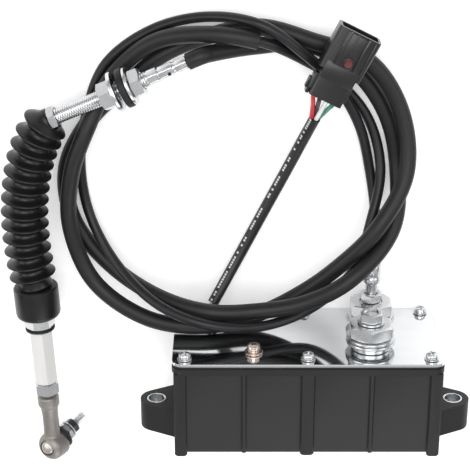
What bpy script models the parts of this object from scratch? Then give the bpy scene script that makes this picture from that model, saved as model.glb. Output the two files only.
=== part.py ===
"""Engine governor actuator: sealed motor box, push-pull cable in a coil, bellows, rod end and wired lead.

The box lies on its rear long side. +X is the box's length, +Y leaves the cover plate and +Z points up.
All named sizes are millimetres and MM turns them into metres.
"""
import math

import bmesh
import bpy
from mathutils import Matrix, Vector

MM = 0.001
GAP = 0.3                     # clearance kept between two pieces that touch

# Housing
BOX_LENGTH = 168.0            # moulded walls, end to end
RIM_LENGTH = BOX_LENGTH + 2.4
BOX_HEIGHT = 79.0             # rear rib crests to front rib crests
RIM_CORNER = 7.0
BODY_DROP = 65.0              # plate's outer face down to the closed bottom
FOOT = 2.0                    # how far the domed posts stand below the bottom
FITTING_TOP = 43.0            # plate's outer face up to the end of the cable fitting
PLATE_Y = (BODY_DROP + FOOT - FITTING_TOP) / 2
PLATE_THICK = 1.8
GASKET_THICK = 1.2
RIM_BAND = 4.5
PANEL_RECESS = 1.8
WALL = 3.0
FLOOR = 3.5
EDGE_ROUND = 2.0
POST_WIDE = 8.0
POST_DEEP = 9.0
COLUMN_WIDE = 8.8
RIB_WIDE = 3.2
RIB_SHY = 0.3
RIB_AT = BOX_LENGTH / 4.2
LUG_LOW = 65.0                # depth of a lug's lower face below the plate
LUG_THICK = 19.0
LUG_ROOT = 19.5
LUG_TIP = 10.6
BUSH_AT = BOX_LENGTH / 2 + 13.0
BUSH_OUTER = 12.8
BUSH_BORE = 10.0

# Screws
SCREW_AT = BOX_LENGTH / 2 - 7.0
SCREW_INSET = 7.5
SCREW_SHANK = 3.4
SCREW_HEAD = 7.6
SCREW_HEAD_TALL = 2.7
SCREW_WASHER = 9.2
SCREW_WASHER_THICK = 0.8
SCREW_LONG = 12.0
BOSS = 9.0
BRACKET_SCREW_X = -34.0
BRACKET_SCREW_Z = BOX_HEIGHT - 16.0

# Cable outlets
OUTLET_X = 42.5                # rear outlet, over the rack
OUTLET_FRONT_X = 40.0
OUTLET_FRONT_Z = BOX_HEIGHT - 24.6
OUTLET_REAR_Z = 22.4
ADAPTER_COLLAR = 25.5
ADAPTER_COLLAR_THICK = 3.4
ADAPTER_THREAD = 14.0
ADAPTER_BORE = 8.8
ADAPTER_BELOW = 8.0
LOWER_WASHER = 31.4
UPPER_WASHER = 30.4
OUTLET_WASHER_THICK = 1.9
OUTLET_NUT_FLATS = 26.0
OUTLET_NUT_THICK = 8.4
PLUG_WASHER = 17.0
PLUG_HEAD_FLATS = 13.0
PLUG_HEAD_TALL = 5.4
LOCK_NUT_THICK = 5.4
FITTING_TUBE = 7.8
FITTING_FERRULE = 11.6
FERRULE_FROM = 30.0

# Push-pull cable
BARE = 6.5
SLEEVED = 10.5
CORE = 3.0
COIL_X = -47.0
COIL_Y = 104.0
TURN_STEP = 20.0
BARE_FIRST = -20.0
BARE_ROWS = [
    (97.0, 12.5), (86.5, 6.0), (84.0, 9.5), (84.5, 13.0), (89.0, 22.0), (98.2, 24.5),
    (99.0, 8.5), (101.3, 3.9), (103.0, 3.9), (98.0, 3.9), (97.0, 3.9), (98.0, 7.0),
    (97.0, 21.5), (94.0, 41.5), (91.5, 52.0), (96.0, 46.0), (102.5, 30.0), (101.0, 24.2),
    (93.0, 22.6), (93.5, 9.5), (90.5, 3.9), (85.5, 4.2), (83.5, 12.0),
]
SLEEVED_ROWS = [
    (88.5, 26.0), (92.0, 23.0), (95.5, 11.6), (95.5, 8.8), (95.0, 23.8), (101.0, 24.0),
    (110.0, 20.0), (116.0, 22.5), (109.5, 33.5), (99.5, 38.0), (96.0, 27.5), (92.0, 24.5),
    (90.5, 29.5), (96.0, 33.0), (108.5, 21.0), (111.5, 14.0), (109.5, 13.5), (97.5, 16.0),
    (94.0, 13.5), (86.0, 5.8), (84.8, 5.8), (84.8, 5.8), (95.0, 12.4), (105.5, 10.5),
    (109.0, 7.0), (104.0, 11.5), (94.0, 30.0), (87.5, 41.5), (88.0, 39.5), (92.5, 41.0),
    (98.0, 41.5), (108.0, 22.0), (104.5, 6.2), (102.0, 5.8), (98.5, 5.8), (92.0, 5.8),
    (80.5, 9.0), (80.5, 25.5),
]
STRAIGHT_OUT = 3.0            # straight stretch where the cable leaves its fitting
CABLE_LEAVES = (54.0, 20.8)   # next route point above the plate, y and z
BARE_COUNT = 42
SLEEVED_COUNT = 50

# Mounting hub on the cable's far end
HUB_START = (-74.0, 179.3, 28.8)
HUB_END = (-153.9, 144.8, 27.6)
CRIMP = 8.0
CRIMP_LONG = 19.0
HUB_HEX_FLATS = 8.8
HUB_HEX_LONG = 7.0
HUB_THREAD = 10.0
HUB_BORE = 4.4
HUB_BEYOND_NUT = 6.0
HUB_NUT_FLATS = 16.0
RIGHT_NUT_FROM = 30.0
RIGHT_NUT_THICK = 7.2
THIN_WASHER = 24.0
THIN_WASHER_THICK = 1.6
RUBBER_WASHER = 25.0
RUBBER_WASHER_THICK = 4.2
THICK_WASHER = 25.5
THICK_WASHER_FROM = 46.6
THICK_WASHER_THICK = 2.6
LEFT_NUT_THICK = 8.4
CLAMP_NUT_FROM = 81.5
CLAMP_NUT_THICK = 5.0
CLAMP_NUT_FLATS = 13.0

# Bellows
BELLOWS_FROM = 90.2           # along the hub's axis
BELLOWS_LEAVE = 18.0
BELLOWS_ARRIVE = (-177.8, 97.5, 23.0)
BELLOWS_END = (-174.75, 28.0, 22.0)
FOLDS = 13
FOLD_OUTER = 30.3
FOLD_ROOT = 20.0
BELLOWS_WALL = 1.5
NECK_LONG = 5.0
NECK_OUTER = 15.0

# Rod between bellows and rod end
ROD_TOP = (-174.75, 27.6, 22.0)
ROD_HEADING = -87.3
CUP = 29.0
CUP_LONG = 21.8
CUP_SPIGOT = 16.0
CUP_SPIGOT_LONG = 5.0
CUP_NUT_FLATS = 17.3
CUP_NUT_THICK = 7.2
ROD_THREAD = 8.0
SEAL_OUTER = 19.5
SEAL_THICK = 2.0
BAR_FLATS = 14.0
BAR_LONG = 38.8
THREAD_ENGAGED = 14.0
THREAD_SHOWN = 2.2              # between the jam nut and the rod end's collar
JAM_NUT_FLATS = 14.7
JAM_NUT_THICK = 8.1
ROD_END_COLLAR = 14.5
ROD_END_COLLAR_LONG = 9.0
ROD_END_NECK = 10.7
SOCKET_AT = 120.3             # ball centre along the rod from its top
SOCKET_OUTER = 19.5
SOCKET_BACK = 7.0
SOCKET_FRONT = 6.6
SOCKET_AXIS = (0.602, 0.08, -0.795)
SOCKET_WINDOW = 9.4
BALL = 12.0
SOCKET_MOUTH = 10.4
STUD_AXIS = (0.633, 0.388, -0.670)
STUD_NECK = 6.0
STUD_FLANGE_FROM = 10.6
STUD_FLANGE_THICK = 3.6
STUD_FLANGE_FLATS = 10.0
STUD_SHANK = 5.4
STUD_LONG = 29.85
STUD_NUT_FLANGE = 11.0
STUD_NUT_FLANGE_THICK = 0.9
STUD_NUT_THICK = 4.4
STUD_NUT_FLATS = 8.6

# Wired lead
GROMMET_X = 24.0 - BOX_LENGTH / 2
GROMMET_Z = 25.0
GROMMET_OUTER = 13.0
GROMMET_HOLE = 9.0
GROMMET_LIP = 1.4
LEAD = 7.4
LEAD_ROUTE = [
    (-60.0, 13.6, 20.0), (-54.7, 21.9, 15.0), (-46.7, 34.8, 8.5), (-36.7, 52.9, 4.5),
    (-26.9, 72.3, 4.1), (-10.9, 104.3, 4.5), (-1.8, 124.8, 9.0), (3.9, 139.4, 16.0),
]
WIRE = 2.2
CONNECTOR_REAR = (8.1, 157.8)
CONNECTOR_FRONT = (28.8, 199.0)
CONNECTOR_LOW = 26.4
HOOD_WIDE = 27.4
HOOD_TALL = 14.0
HOOD_LONG = 27.5
HOOD_WALL = 1.8
HOOD_DEEP = 22.0
SHELL_WIDE = 21.5
SHELL_TALL = 12.6
TERMINAL_BORE = 3.2
TERMINAL_PITCH = 4.4
TERMINAL_DEEP = 12.0

# Mechanism inside the box
FRAME_THICK = 4.0
RACK_THICK = 6.0
RACK_WIDE = 8.0
RACK_TRAVEL = 12.0
GEAR_MODULE = 1.4
GEAR_TEETH = 20
TOOTH_TIP = 0.85              # in modules, beyond the pitch line
TOOTH_ROOT = 1.1              # in modules, inside the pitch line
MOTOR_TEETH = 16
MOTOR = 26.0
MOTOR_SHY = 41.0              # shorter than the box is deep
MOTOR_LONG = BOX_HEIGHT - MOTOR_SHY


def clear_scene():
    """Remove whatever the file already holds."""
    for item in list(bpy.data.objects):
        bpy.data.objects.remove(item, do_unlink=True)


def painted(name, colour, roughness, metallic):
    """A Principled material of the piece's own."""
    material = bpy.data.materials.new(name)
    material.use_nodes = True
    shader = material.node_tree.nodes["Principled BSDF"]
    shader.inputs["Base Color"].default_value = (*colour, 1.0)
    shader.inputs["Roughness"].default_value = roughness
    shader.inputs["Metallic"].default_value = metallic
    return material


BLACK_PLASTIC = ((0.028, 0.028, 0.030), 0.55, 0.0)
RUBBER = ((0.015, 0.015, 0.016), 0.70, 0.0)
VINYL = ((0.030, 0.031, 0.034), 0.50, 0.0)
ZINC = ((0.74, 0.76, 0.78), 0.28, 1.0)
POLISHED = ((0.82, 0.83, 0.84), 0.08, 1.0)
CAST_GREY = ((0.34, 0.32, 0.30), 0.55, 0.6)
SATIN = ((0.86, 0.87, 0.88), 0.35, 0.9)
BRASS = ((0.72, 0.56, 0.27), 0.30, 1.0)
RED = ((0.55, 0.02, 0.03), 0.45, 0.0)
WHITE = ((0.80, 0.80, 0.78), 0.45, 0.0)
GREEN = ((0.01, 0.20, 0.13), 0.45, 0.0)
BOARD = ((0.02, 0.16, 0.07), 0.50, 0.0)


def mesh_object(name, bm, look, place=None):
    """Give a closed bmesh its object, material, smooth shading and place."""
    bmesh.ops.recalc_face_normals(bm, faces=bm.faces)
    mesh = bpy.data.meshes.new(name)
    bm.to_mesh(mesh)
    bm.free()
    mesh.shade_smooth()
    mesh.set_sharp_from_angle(angle=math.radians(35))
    item = bpy.data.objects.new(name, mesh)
    bpy.context.collection.objects.link(item)
    if look:
        mesh.materials.append(painted(name, *look))
    if place is not None:
        item.matrix_world = place
    return item


def skin(rings, closed_loop=False):
    """Bridge equal rings of points into one closed bmesh, capped or joined end to start."""
    bm = bmesh.new()
    made = [[bm.verts.new(Vector(point) * MM) for point in ring] for ring in rings]
    pairs = list(zip(made, made[1:]))
    if closed_loop:
        pairs.append((made[-1], made[0]))
    for low, high in pairs:
        for i in range(len(low)):
            j = (i + 1) % len(low)
            bm.faces.new((low[i], low[j], high[j], high[i]))
    if not closed_loop:
        bm.faces.new(list(reversed(made[0])))
        bm.faces.new(made[-1])
    return bm


def frame_at(origin, axis, side):
    """Matrix that puts local Z on the axis and local X towards the side."""
    z = Vector(axis).normalized()
    x = Vector(side) - z * Vector(side).dot(z)
    x.normalize()
    y = z.cross(x)
    turn = Matrix((x, y, z)).transposed().to_4x4()
    return Matrix.Translation(Vector(origin) * MM) @ turn


def hexagon(flats, limit=1000.0):
    """Radius of a hexagon with a corner at angle zero, trimmed to a round limit."""
    def radius(angle):
        off = (math.degrees(angle) % 60.0) - 30.0
        return min(limit, flats / 2 / math.cos(math.radians(off)))
    return radius


def turned(name, profile, look, place, segments=24, hollow=False):
    """Revolve a (radius, height) profile about local Z; a radius may be a function of the angle."""
    rings = []
    for radius, height in profile:
        ring = []
        for i in range(segments):
            angle = math.tau * i / segments
            r = radius(angle) if callable(radius) else radius
            ring.append((r * math.cos(angle), r * math.sin(angle), height))
        rings.append(ring)
    return mesh_object(name, skin(rings, hollow), look, place)


def washer(name, outer, bore, thick, look, place, segments=28):
    """Flat ring standing on its place."""
    profile = [(bore / 2, 0.0), (outer / 2, 0.0), (outer / 2, thick), (bore / 2, thick)]
    return turned(name, profile, look, place, segments, hollow=True)


def nut(name, flats, thick, bore, look, place, segments=18):
    """Chamfered hexagon nut standing on its place."""
    chamfer = thick * 0.12
    round_end = hexagon(flats, flats / 2 * 1.01)
    full = hexagon(flats)
    profile = [
        (bore / 2, 0.0), (round_end, 0.0), (full, chamfer),
        (full, thick - chamfer), (round_end, thick), (bore / 2, thick),
    ]
    return turned(name, profile, look, place, segments, hollow=True)


def extruded(name, outline, levels, look, place=None):
    """Stack copies of an (x, z) outline, each level being (y, inset function or None)."""
    rings = []
    for y, change in levels:
        points = change(outline) if change else outline
        rings.append([(x, y, z) for x, z in points])
    return mesh_object(name, skin(rings), look, place)


def rounded_box(half, low, high, corner, steps=5):
    """Outline of a rectangle with round corners, centred on x = 0."""
    points = []
    corners = [
        (half - corner, low + corner, -90), (half - corner, high - corner, 0),
        (-half + corner, high - corner, 90), (-half + corner, low + corner, 180),
    ]
    for x, z, start in corners:
        for i in range(steps + 1):
            angle = math.radians(start + 90 * i / steps)
            points.append((x + corner * math.cos(angle), z + corner * math.sin(angle)))
    return points


def block(name, low, high, look=None, place=None):
    """Plain box between two corners, in millimetres."""
    x0, y0, z0 = low
    x1, y1, z1 = high
    outline = [(x0, z0), (x1, z0), (x1, z1), (x0, z1)]
    return extruded(name, outline, [(y0, None), (y1, None)], look, place)


def boolean(target, tool, operation):
    """Apply one exact Boolean and drop the tool."""
    step = target.modifiers.new("step", "BOOLEAN")
    step.operation = operation
    step.object = tool
    step.solver = "EXACT"
    bpy.context.view_layer.update()
    graph = bpy.context.evaluated_depsgraph_get()
    mesh = bpy.data.meshes.new_from_object(target.evaluated_get(graph))
    target.modifiers.clear()
    old = target.data
    target.data = mesh
    mesh.name = target.name
    bpy.data.meshes.remove(old)
    bpy.data.objects.remove(tool, do_unlink=True)
    mesh.set_sharp_from_angle(angle=math.radians(35))


def drill(target, origin, axis, bore, depth, segments=20):
    """Cut a round hole that starts at the origin and runs along the axis."""
    side = (1, 0, 0) if abs(axis[0]) < 0.9 else (0, 0, 1)
    place = frame_at(origin, axis, side)
    tool = turned("drill", [(bore / 2, 0.0), (bore / 2, depth)], None, place, segments)
    boolean(target, tool, "DIFFERENCE")


def curve_through(knots, per=12):
    """Smooth centripetal curve through hand-chosen points."""
    p = [Vector(k) for k in knots]
    p = [p[0] * 2 - p[1]] + p + [p[-1] * 2 - p[-2]]
    out = []
    for i in range(1, len(p) - 2):
        a, b, c, d = p[i - 1:i + 3]
        ta, tb, tc = (max(1e-6, v.length ** 0.5) for v in (b - a, c - b, d - c))
        out_slope = ((b - a) / ta - (c - a) / (ta + tb) + (c - b) / tb) * tb
        in_slope = ((c - b) / tb - (d - b) / (tb + tc) + (d - c) / tc) * tb
        for k in range(per):
            t = k / per
            out.append(
                b * (2 * t ** 3 - 3 * t ** 2 + 1) + out_slope * (t ** 3 - 2 * t ** 2 + t)
                + c * (3 * t ** 2 - 2 * t ** 3) + in_slope * (t ** 3 - t ** 2)
            )
    out.append(p[-2])
    return out


def spaced(path, count):
    """Read evenly spaced points along a path."""
    reach = [0.0]
    for a, b in zip(path, path[1:]):
        reach.append(reach[-1] + (b - a).length)
    out = []
    k = 0
    for i in range(count):
        want = reach[-1] * i / (count - 1)
        while k < len(path) - 2 and reach[k + 1] < want:
            k += 1
        share = (want - reach[k]) / (reach[k + 1] - reach[k])
        out.append(path[k].lerp(path[k + 1], min(1.0, max(0.0, share))))
    return out


def tube(name, points, diameter, look, sides=2):
    """Round cord along the points, with filled ends."""
    curve = bpy.data.curves.new(name, "CURVE")
    curve.dimensions = "3D"
    curve.bevel_depth = diameter / 2 * MM
    curve.bevel_resolution = sides
    curve.use_fill_caps = True
    spline = curve.splines.new("POLY")
    spline.points.add(len(points) - 1)
    for slot, point in zip(spline.points, points):
        slot.co = (*(Vector(point) * MM), 1.0)
    item = bpy.data.objects.new(name, curve)
    bpy.context.collection.objects.link(item)
    curve.materials.append(painted(name, *look))
    return item


def lug_outline(side):
    """Tapered lug: straight flanks from the wall to the round tip."""
    middle = BOX_HEIGHT / 2
    root_x = BOX_LENGTH / 2 - 2
    dx = BUSH_AT - root_x
    reach = math.hypot(dx, LUG_ROOT)
    lean = math.atan2(LUG_ROOT, dx)
    touch = math.acos(LUG_TIP / reach)
    first = math.pi - lean - touch
    points = [(root_x, middle - LUG_ROOT)]
    steps = 12
    for i in range(steps + 1):
        angle = -first + 2 * first * i / steps
        points.append((BUSH_AT + LUG_TIP * math.cos(angle), middle + LUG_TIP * math.sin(angle)))
    points.append((root_x, middle + LUG_ROOT))
    return [(side * x, z) for x, z in points]


def make_housing():
    """Moulded box: recessed panels between ribs and posts, rim band, lugs, cavity and screw bosses."""
    half = BOX_LENGTH / 2
    rim_top = PLATE_Y - PLATE_THICK - GASKET_THICK - 2 * GAP
    bottom = PLATE_Y - BODY_DROP
    rim_low = rim_top - RIM_BAND
    low = PANEL_RECESS
    high = BOX_HEIGHT - PANEL_RECESS
    rings = []
    for y, inset in ((bottom, EDGE_ROUND), (bottom + 0.6, EDGE_ROUND * 0.35), (bottom + EDGE_ROUND, 0.0), (rim_low, 0.0), (rim_top, 0.0)):
        outline = rounded_box(half - 0.2 - inset, low + inset, high - inset, 5.0 - inset)
        rings.append([(x, y, z) for x, z in outline])
    housing = mesh_object("housing", skin(rings), BLACK_PLASTIC)
    rim = rounded_box(RIM_LENGTH / 2, 0.0, BOX_HEIGHT, RIM_CORNER)
    soft = rounded_box(RIM_LENGTH / 2 - 0.6, 0.6, BOX_HEIGHT - 0.6, RIM_CORNER - 0.6)
    band = [[(x, rim_low, z) for x, z in soft], [(x, rim_low + 0.6, z) for x, z in rim], [(x, rim_top, z) for x, z in rim]]
    boolean(housing, mesh_object("band", skin(band), None), "UNION")
    for x in (-half + POST_WIDE / 2, half - POST_WIDE / 2):
        for face, way in ((0.0, 1), (BOX_HEIGHT, -1)):
            boolean(housing, upright_rib("post", x, POST_WIDE, face, way, POST_DEEP, FOOT, rim_low, bottom), "UNION")
    for face, way in ((0.0, 1), (BOX_HEIGHT, -1)):
        boolean(housing, upright_rib("column", 0.0, COLUMN_WIDE, face, way, 5.0, 1.2, rim_low, bottom), "UNION")
        for x in (-RIB_AT, RIB_AT):
            shy = face + way * RIB_SHY
            boolean(housing, upright_rib("rib", x, RIB_WIDE, shy, way, 4.0, -0.7, rim_low, bottom), "UNION")
    lug_low = PLATE_Y - LUG_LOW
    for side in (-1, 1):
        lug = extruded("lug", lug_outline(side), [(lug_low, None), (lug_low + LUG_THICK, None)], None)
        boolean(housing, lug, "UNION")
    inner = rounded_box(half - WALL, low + WALL, high - WALL, 3.0)
    cavity = extruded("cavity", inner, [(bottom + FLOOR, None), (rim_top + 2, None)], None)
    boolean(housing, cavity, "DIFFERENCE")
    for x, z in rim_screw_places():
        place = frame_at((x, bottom + FLOOR - 1, z), (0, 1, 0), (1, 0, 0))
        boss = turned("boss", [(BOSS / 2 + 0.5, 0.0), (BOSS / 2, BODY_DROP - 20), (BOSS / 2, rim_top - bottom - FLOOR + 1)], None, place, 20)
        boolean(housing, boss, "UNION")
    for x, z in rim_screw_places():
        drill(housing, (x, rim_top + 1, z), (0, -1, 0), SCREW_SHANK + 2 * GAP, SCREW_LONG + 2)
    for side in (-1, 1):
        drill(housing, (side * BUSH_AT, lug_low - 1, BOX_HEIGHT / 2), (0, 1, 0), BUSH_OUTER + 2 * GAP, LUG_THICK + 2, 24)
    return housing


def upright_rib(name, x, wide, face, way, deep, below, rim_low, bottom):
    """Rib on a long face, from the rim band down past the bottom to a rounded end."""
    soft = min(0.8, wide / 4)
    section = [
        (x - wide / 2, face + way * deep), (x - wide / 2, face + way * soft), (x - wide / 2 + soft, face),
        (x + wide / 2 - soft, face), (x + wide / 2, face + way * soft), (x + wide / 2, face + way * deep),
    ]
    drop = wide / 2 if below > 0 else 0.8
    rings = []
    for share in (0.0, 0.35, 0.7, 0.92, 1.0):
        narrow = math.sqrt(1.0 - share ** 2 * 0.85)
        y = bottom - below + (1.0 - share) * min(drop, 2.2) * 1.0
        lift = (1.0 - narrow) * 2.4
        rings.append([(x + (px - x) * narrow, y, max(min(pz + way * lift, max(face, face + way * deep)), min(face, face + way * deep))) for px, pz in section])
    rings.reverse()
    rings.append([(px, rim_low + 1.0, pz) for px, pz in section])
    return mesh_object(name, skin(rings), None)


def rim_screw_places():
    """The six screws round the cover, as (x, z)."""
    return [(x, z) for z in (SCREW_INSET, BOX_HEIGHT - SCREW_INSET) for x in (-SCREW_AT, 0.0, SCREW_AT)]


def make_bushes():
    """Steel bushes pressed into the two lugs."""
    low = PLATE_Y - LUG_LOW
    for name, side in (("lug_bush_left", -1), ("lug_bush_right", 1)):
        place = frame_at((side * BUSH_AT, low, BOX_HEIGHT / 2), (0, 1, 0), (1, 0, 0))
        washer(name, BUSH_OUTER, BUSH_BORE, LUG_THICK, ZINC, place, 20)


def make_gasket():
    """Flat rubber frame between rim and cover, pierced for the screws."""
    low = PLATE_Y - PLATE_THICK - GASKET_THICK - GAP
    outline = rounded_box(RIM_LENGTH / 2 - 0.2, 0.2, BOX_HEIGHT - 0.2, RIM_CORNER)
    gasket = extruded("gasket", outline, [(low, None), (low + GASKET_THICK, None)], RUBBER)
    half = BOX_LENGTH / 2 - WALL - 8.5
    inner = rounded_box(half, 14.0, BOX_HEIGHT - 14.0, 3.0)
    boolean(gasket, extruded("window", inner, [(low - 1, None), (low + 3, None)], None), "DIFFERENCE")
    for x, z in rim_screw_places():
        drill(gasket, (x, low - 1, z), (0, 1, 0), SCREW_SHANK + 1.0, 4.0, 10)


def make_cover():
    """Polished plate with eased edges and its holes."""
    low = PLATE_Y - PLATE_THICK
    ease = 0.3
    full = rounded_box(RIM_LENGTH / 2, 0.0, BOX_HEIGHT, RIM_CORNER, 6)
    inset = rounded_box(RIM_LENGTH / 2 - ease, ease, BOX_HEIGHT - ease, RIM_CORNER - ease, 6)
    rings = [(low, full), (PLATE_Y - ease, full), (PLATE_Y, inset)]
    cover = mesh_object("cover_plate", skin([[(x, y, z) for x, z in ring] for y, ring in rings]), POLISHED)
    for x, z in rim_screw_places() + [(BRACKET_SCREW_X, BRACKET_SCREW_Z)]:
        drill(cover, (x, low - 1, z), (0, 1, 0), SCREW_SHANK + 1.0, 5.0, 12)
    for x, z in ((OUTLET_FRONT_X, OUTLET_FRONT_Z), (OUTLET_X, OUTLET_REAR_Z)):
        drill(cover, (x, low - 1, z), (0, 1, 0), ADAPTER_THREAD + 2 * GAP, 5.0, 28)
    drill(cover, (GROMMET_X, low - 1, GROMMET_Z), (0, 1, 0), GROMMET_HOLE + 2.2, 5.0, 24)


def make_screws():
    """Pan-head screws, each with its captive washer and a cross recess."""
    names = {}
    for row, z in (("rear", SCREW_INSET), ("front", BOX_HEIGHT - SCREW_INSET)):
        for column, x in (("left", -SCREW_AT), ("mid", 0.0), ("right", SCREW_AT)):
            names["cover_screw_" + row + "_" + column] = (x, z)
    names["bracket_screw"] = (BRACKET_SCREW_X, BRACKET_SCREW_Z)
    for name, (x, z) in names.items():
        place = frame_at((x, PLATE_Y + GAP, z), (0, 1, 0), (1, 0, 0))
        rim = SCREW_HEAD / 2
        top = SCREW_WASHER_THICK + SCREW_HEAD_TALL
        profile = [
            (SCREW_SHANK / 2, -SCREW_LONG), (SCREW_SHANK / 2, 0.0), (SCREW_WASHER / 2, 0.0),
            (SCREW_WASHER / 2, SCREW_WASHER_THICK), (rim, SCREW_WASHER_THICK), (rim, top - 1.2), (rim * 0.72, top),
        ]
        screw = turned(name, profile, ZINC, place, 14)
        long_side = rim * 0.62
        thin = 0.55
        for a, b in ((long_side, thin), (thin, long_side)):
            slot = block("slot", (-a, -b, top - 1.5), (a, b, top + 1), None, place)
            boolean(screw, slot, "DIFFERENCE")


def outlet_place(z, above):
    """Place on an outlet's axis, a height above the plate, with a corner of each hexagon to the front."""
    x = OUTLET_FRONT_X if z == OUTLET_FRONT_Z else OUTLET_X
    return frame_at((x, PLATE_Y + above, z), (0, 1, 0), (0, 0, 1))


def make_outlets():
    """Two threaded adapters with washers and nuts, one plugged and one with the cable's end fitting."""
    height = GAP
    for name, z in (("plugged", OUTLET_FRONT_Z), ("cable", OUTLET_REAR_Z)):
        height = GAP
        collar_top = height + ADAPTER_COLLAR_THICK
        washer_low = collar_top + GAP
        washer_high = washer_low + OUTLET_WASHER_THICK + GAP
        nut_low = washer_high + OUTLET_WASHER_THICK + GAP
        nut_top = nut_low + OUTLET_NUT_THICK
        bore = ADAPTER_BORE / 2
        thread = ADAPTER_THREAD / 2
        profile = [
            (bore, -ADAPTER_BELOW), (thread - 0.6, -ADAPTER_BELOW), (thread, -ADAPTER_BELOW + 0.6), (thread, height),
            (ADAPTER_COLLAR / 2, height), (ADAPTER_COLLAR / 2, collar_top - 0.4), (ADAPTER_COLLAR / 2 - 0.4, collar_top),
            (thread, collar_top), (thread, nut_top - 1.0), (thread - 0.6, nut_top - 0.4), (bore, nut_top - 0.4),
        ]
        turned(name + "_adapter", profile, ZINC, outlet_place(z, 0.0), 24, hollow=True)
        hole = ADAPTER_THREAD + 2 * GAP
        washer(name + "_lower_washer", LOWER_WASHER, hole, OUTLET_WASHER_THICK, ZINC, outlet_place(z, washer_low), 32)
        washer(name + "_upper_washer", UPPER_WASHER, hole, OUTLET_WASHER_THICK, ZINC, outlet_place(z, washer_high), 32)
        nut(name + "_nut", OUTLET_NUT_FLATS, OUTLET_NUT_THICK, hole, ZINC, outlet_place(z, nut_low), 24)
        height = nut_top + GAP
    plug_low = height
    shank = ADAPTER_BORE / 2 - GAP
    washer("plug_washer", PLUG_WASHER, ADAPTER_BORE, 1.3, ZINC, outlet_place(OUTLET_FRONT_Z, plug_low), 24)
    head_low = plug_low + 1.3 + GAP
    head_top = head_low + PLUG_HEAD_TALL
    head = hexagon(PLUG_HEAD_FLATS)
    dish = PLUG_HEAD_FLATS / 2
    profile = [
        (shank, 2.0), (shank, head_low), (head, head_low), (head, head_top - 0.9),
        (dish, head_top), (dish * 0.72, head_top), (dish * 0.6, head_top - 0.8), (dish * 0.2, head_top - 1.0),
    ]
    turned("plug_bolt", profile, ZINC, outlet_place(OUTLET_FRONT_Z, 0.0), 18)
    tube_radius = FITTING_TUBE / 2
    nut("cable_lock_nut", PLUG_HEAD_FLATS, LOCK_NUT_THICK, FITTING_TUBE + 2 * GAP, ZINC, outlet_place(OUTLET_REAR_Z, plug_low))
    ferrule = FITTING_FERRULE / 2
    core = CORE / 2 + GAP
    profile = [
        (core, 1.0), (tube_radius, 1.0), (tube_radius, FERRULE_FROM - 1.2), (ferrule - 1.2, FERRULE_FROM),
        (ferrule, FERRULE_FROM + 1.2), (ferrule, FITTING_TOP - 1.0), (ferrule - 1.0, FITTING_TOP), (core, FITTING_TOP),
    ]
    turned("cable_end_fitting", profile, ZINC, outlet_place(OUTLET_REAR_Z, 0.0), 20, hollow=True)


def coil_knots(rows, first):
    """Route points of the coil, one every step of bearing round its centre."""
    points = []
    for i, (radius, height) in enumerate(rows):
        bearing = math.radians(first + i * TURN_STEP)
        points.append((COIL_X + radius * math.cos(bearing), COIL_Y + radius * math.sin(bearing), height))
    return points


def make_cable():
    """Bare conduit from the outlet into the coil, then the sleeved stretch to the hub."""
    exit_point = Vector((OUTLET_X, PLATE_Y + FITTING_TOP + GAP, OUTLET_REAR_Z))
    start = [(OUTLET_X, FITTING_TOP + GAP + STRAIGHT_OUT, OUTLET_REAR_Z), (OUTLET_X, *CABLE_LEAVES)]
    bare = coil_knots(BARE_ROWS, BARE_FIRST)
    sleeved = coil_knots(SLEEVED_ROWS, BARE_FIRST + len(BARE_ROWS) * TURN_STEP)
    along = hub_axis()
    end = [Vector(HUB_START) - along * 9.0, Vector(HUB_START)]
    knots = start + bare + sleeved + end
    per = 12
    path = curve_through(knots, per)
    step = per * (len(start) + len(bare))
    shift = Vector((0, PLATE_Y, 0))
    path = [point + shift for point in path]
    join = path[step]
    onward = (path[step + 1] - path[step - 1]).normalized()
    hub = path[-1]
    bare_line = spaced(path[:step + 1], BARE_COUNT)[:-1]
    sleeve_line = spaced(path[step:], SLEEVED_COUNT)[1:-1]
    tube("cable_bare", [exit_point] + bare_line + [join - onward * STRAIGHT_OUT, join], BARE, VINYL)
    first = [join + onward * GAP, join + onward * STRAIGHT_OUT]
    tube("cable_sleeve", first + sleeve_line + [hub - along * STRAIGHT_OUT, hub], SLEEVED, VINYL)


def hub_axis():
    """Direction from the cable towards the bellows."""
    return (Vector(HUB_END) - Vector(HUB_START)).normalized()


def hub_place(along):
    """Place on the hub's axis at a distance from the cable's end, with a corner tipped upwards."""
    origin = Vector(HUB_START) + hub_axis() * along + Vector((0, PLATE_Y, 0))
    return frame_at(origin, hub_axis(), (0.3, -0.7, 1.0))


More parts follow.
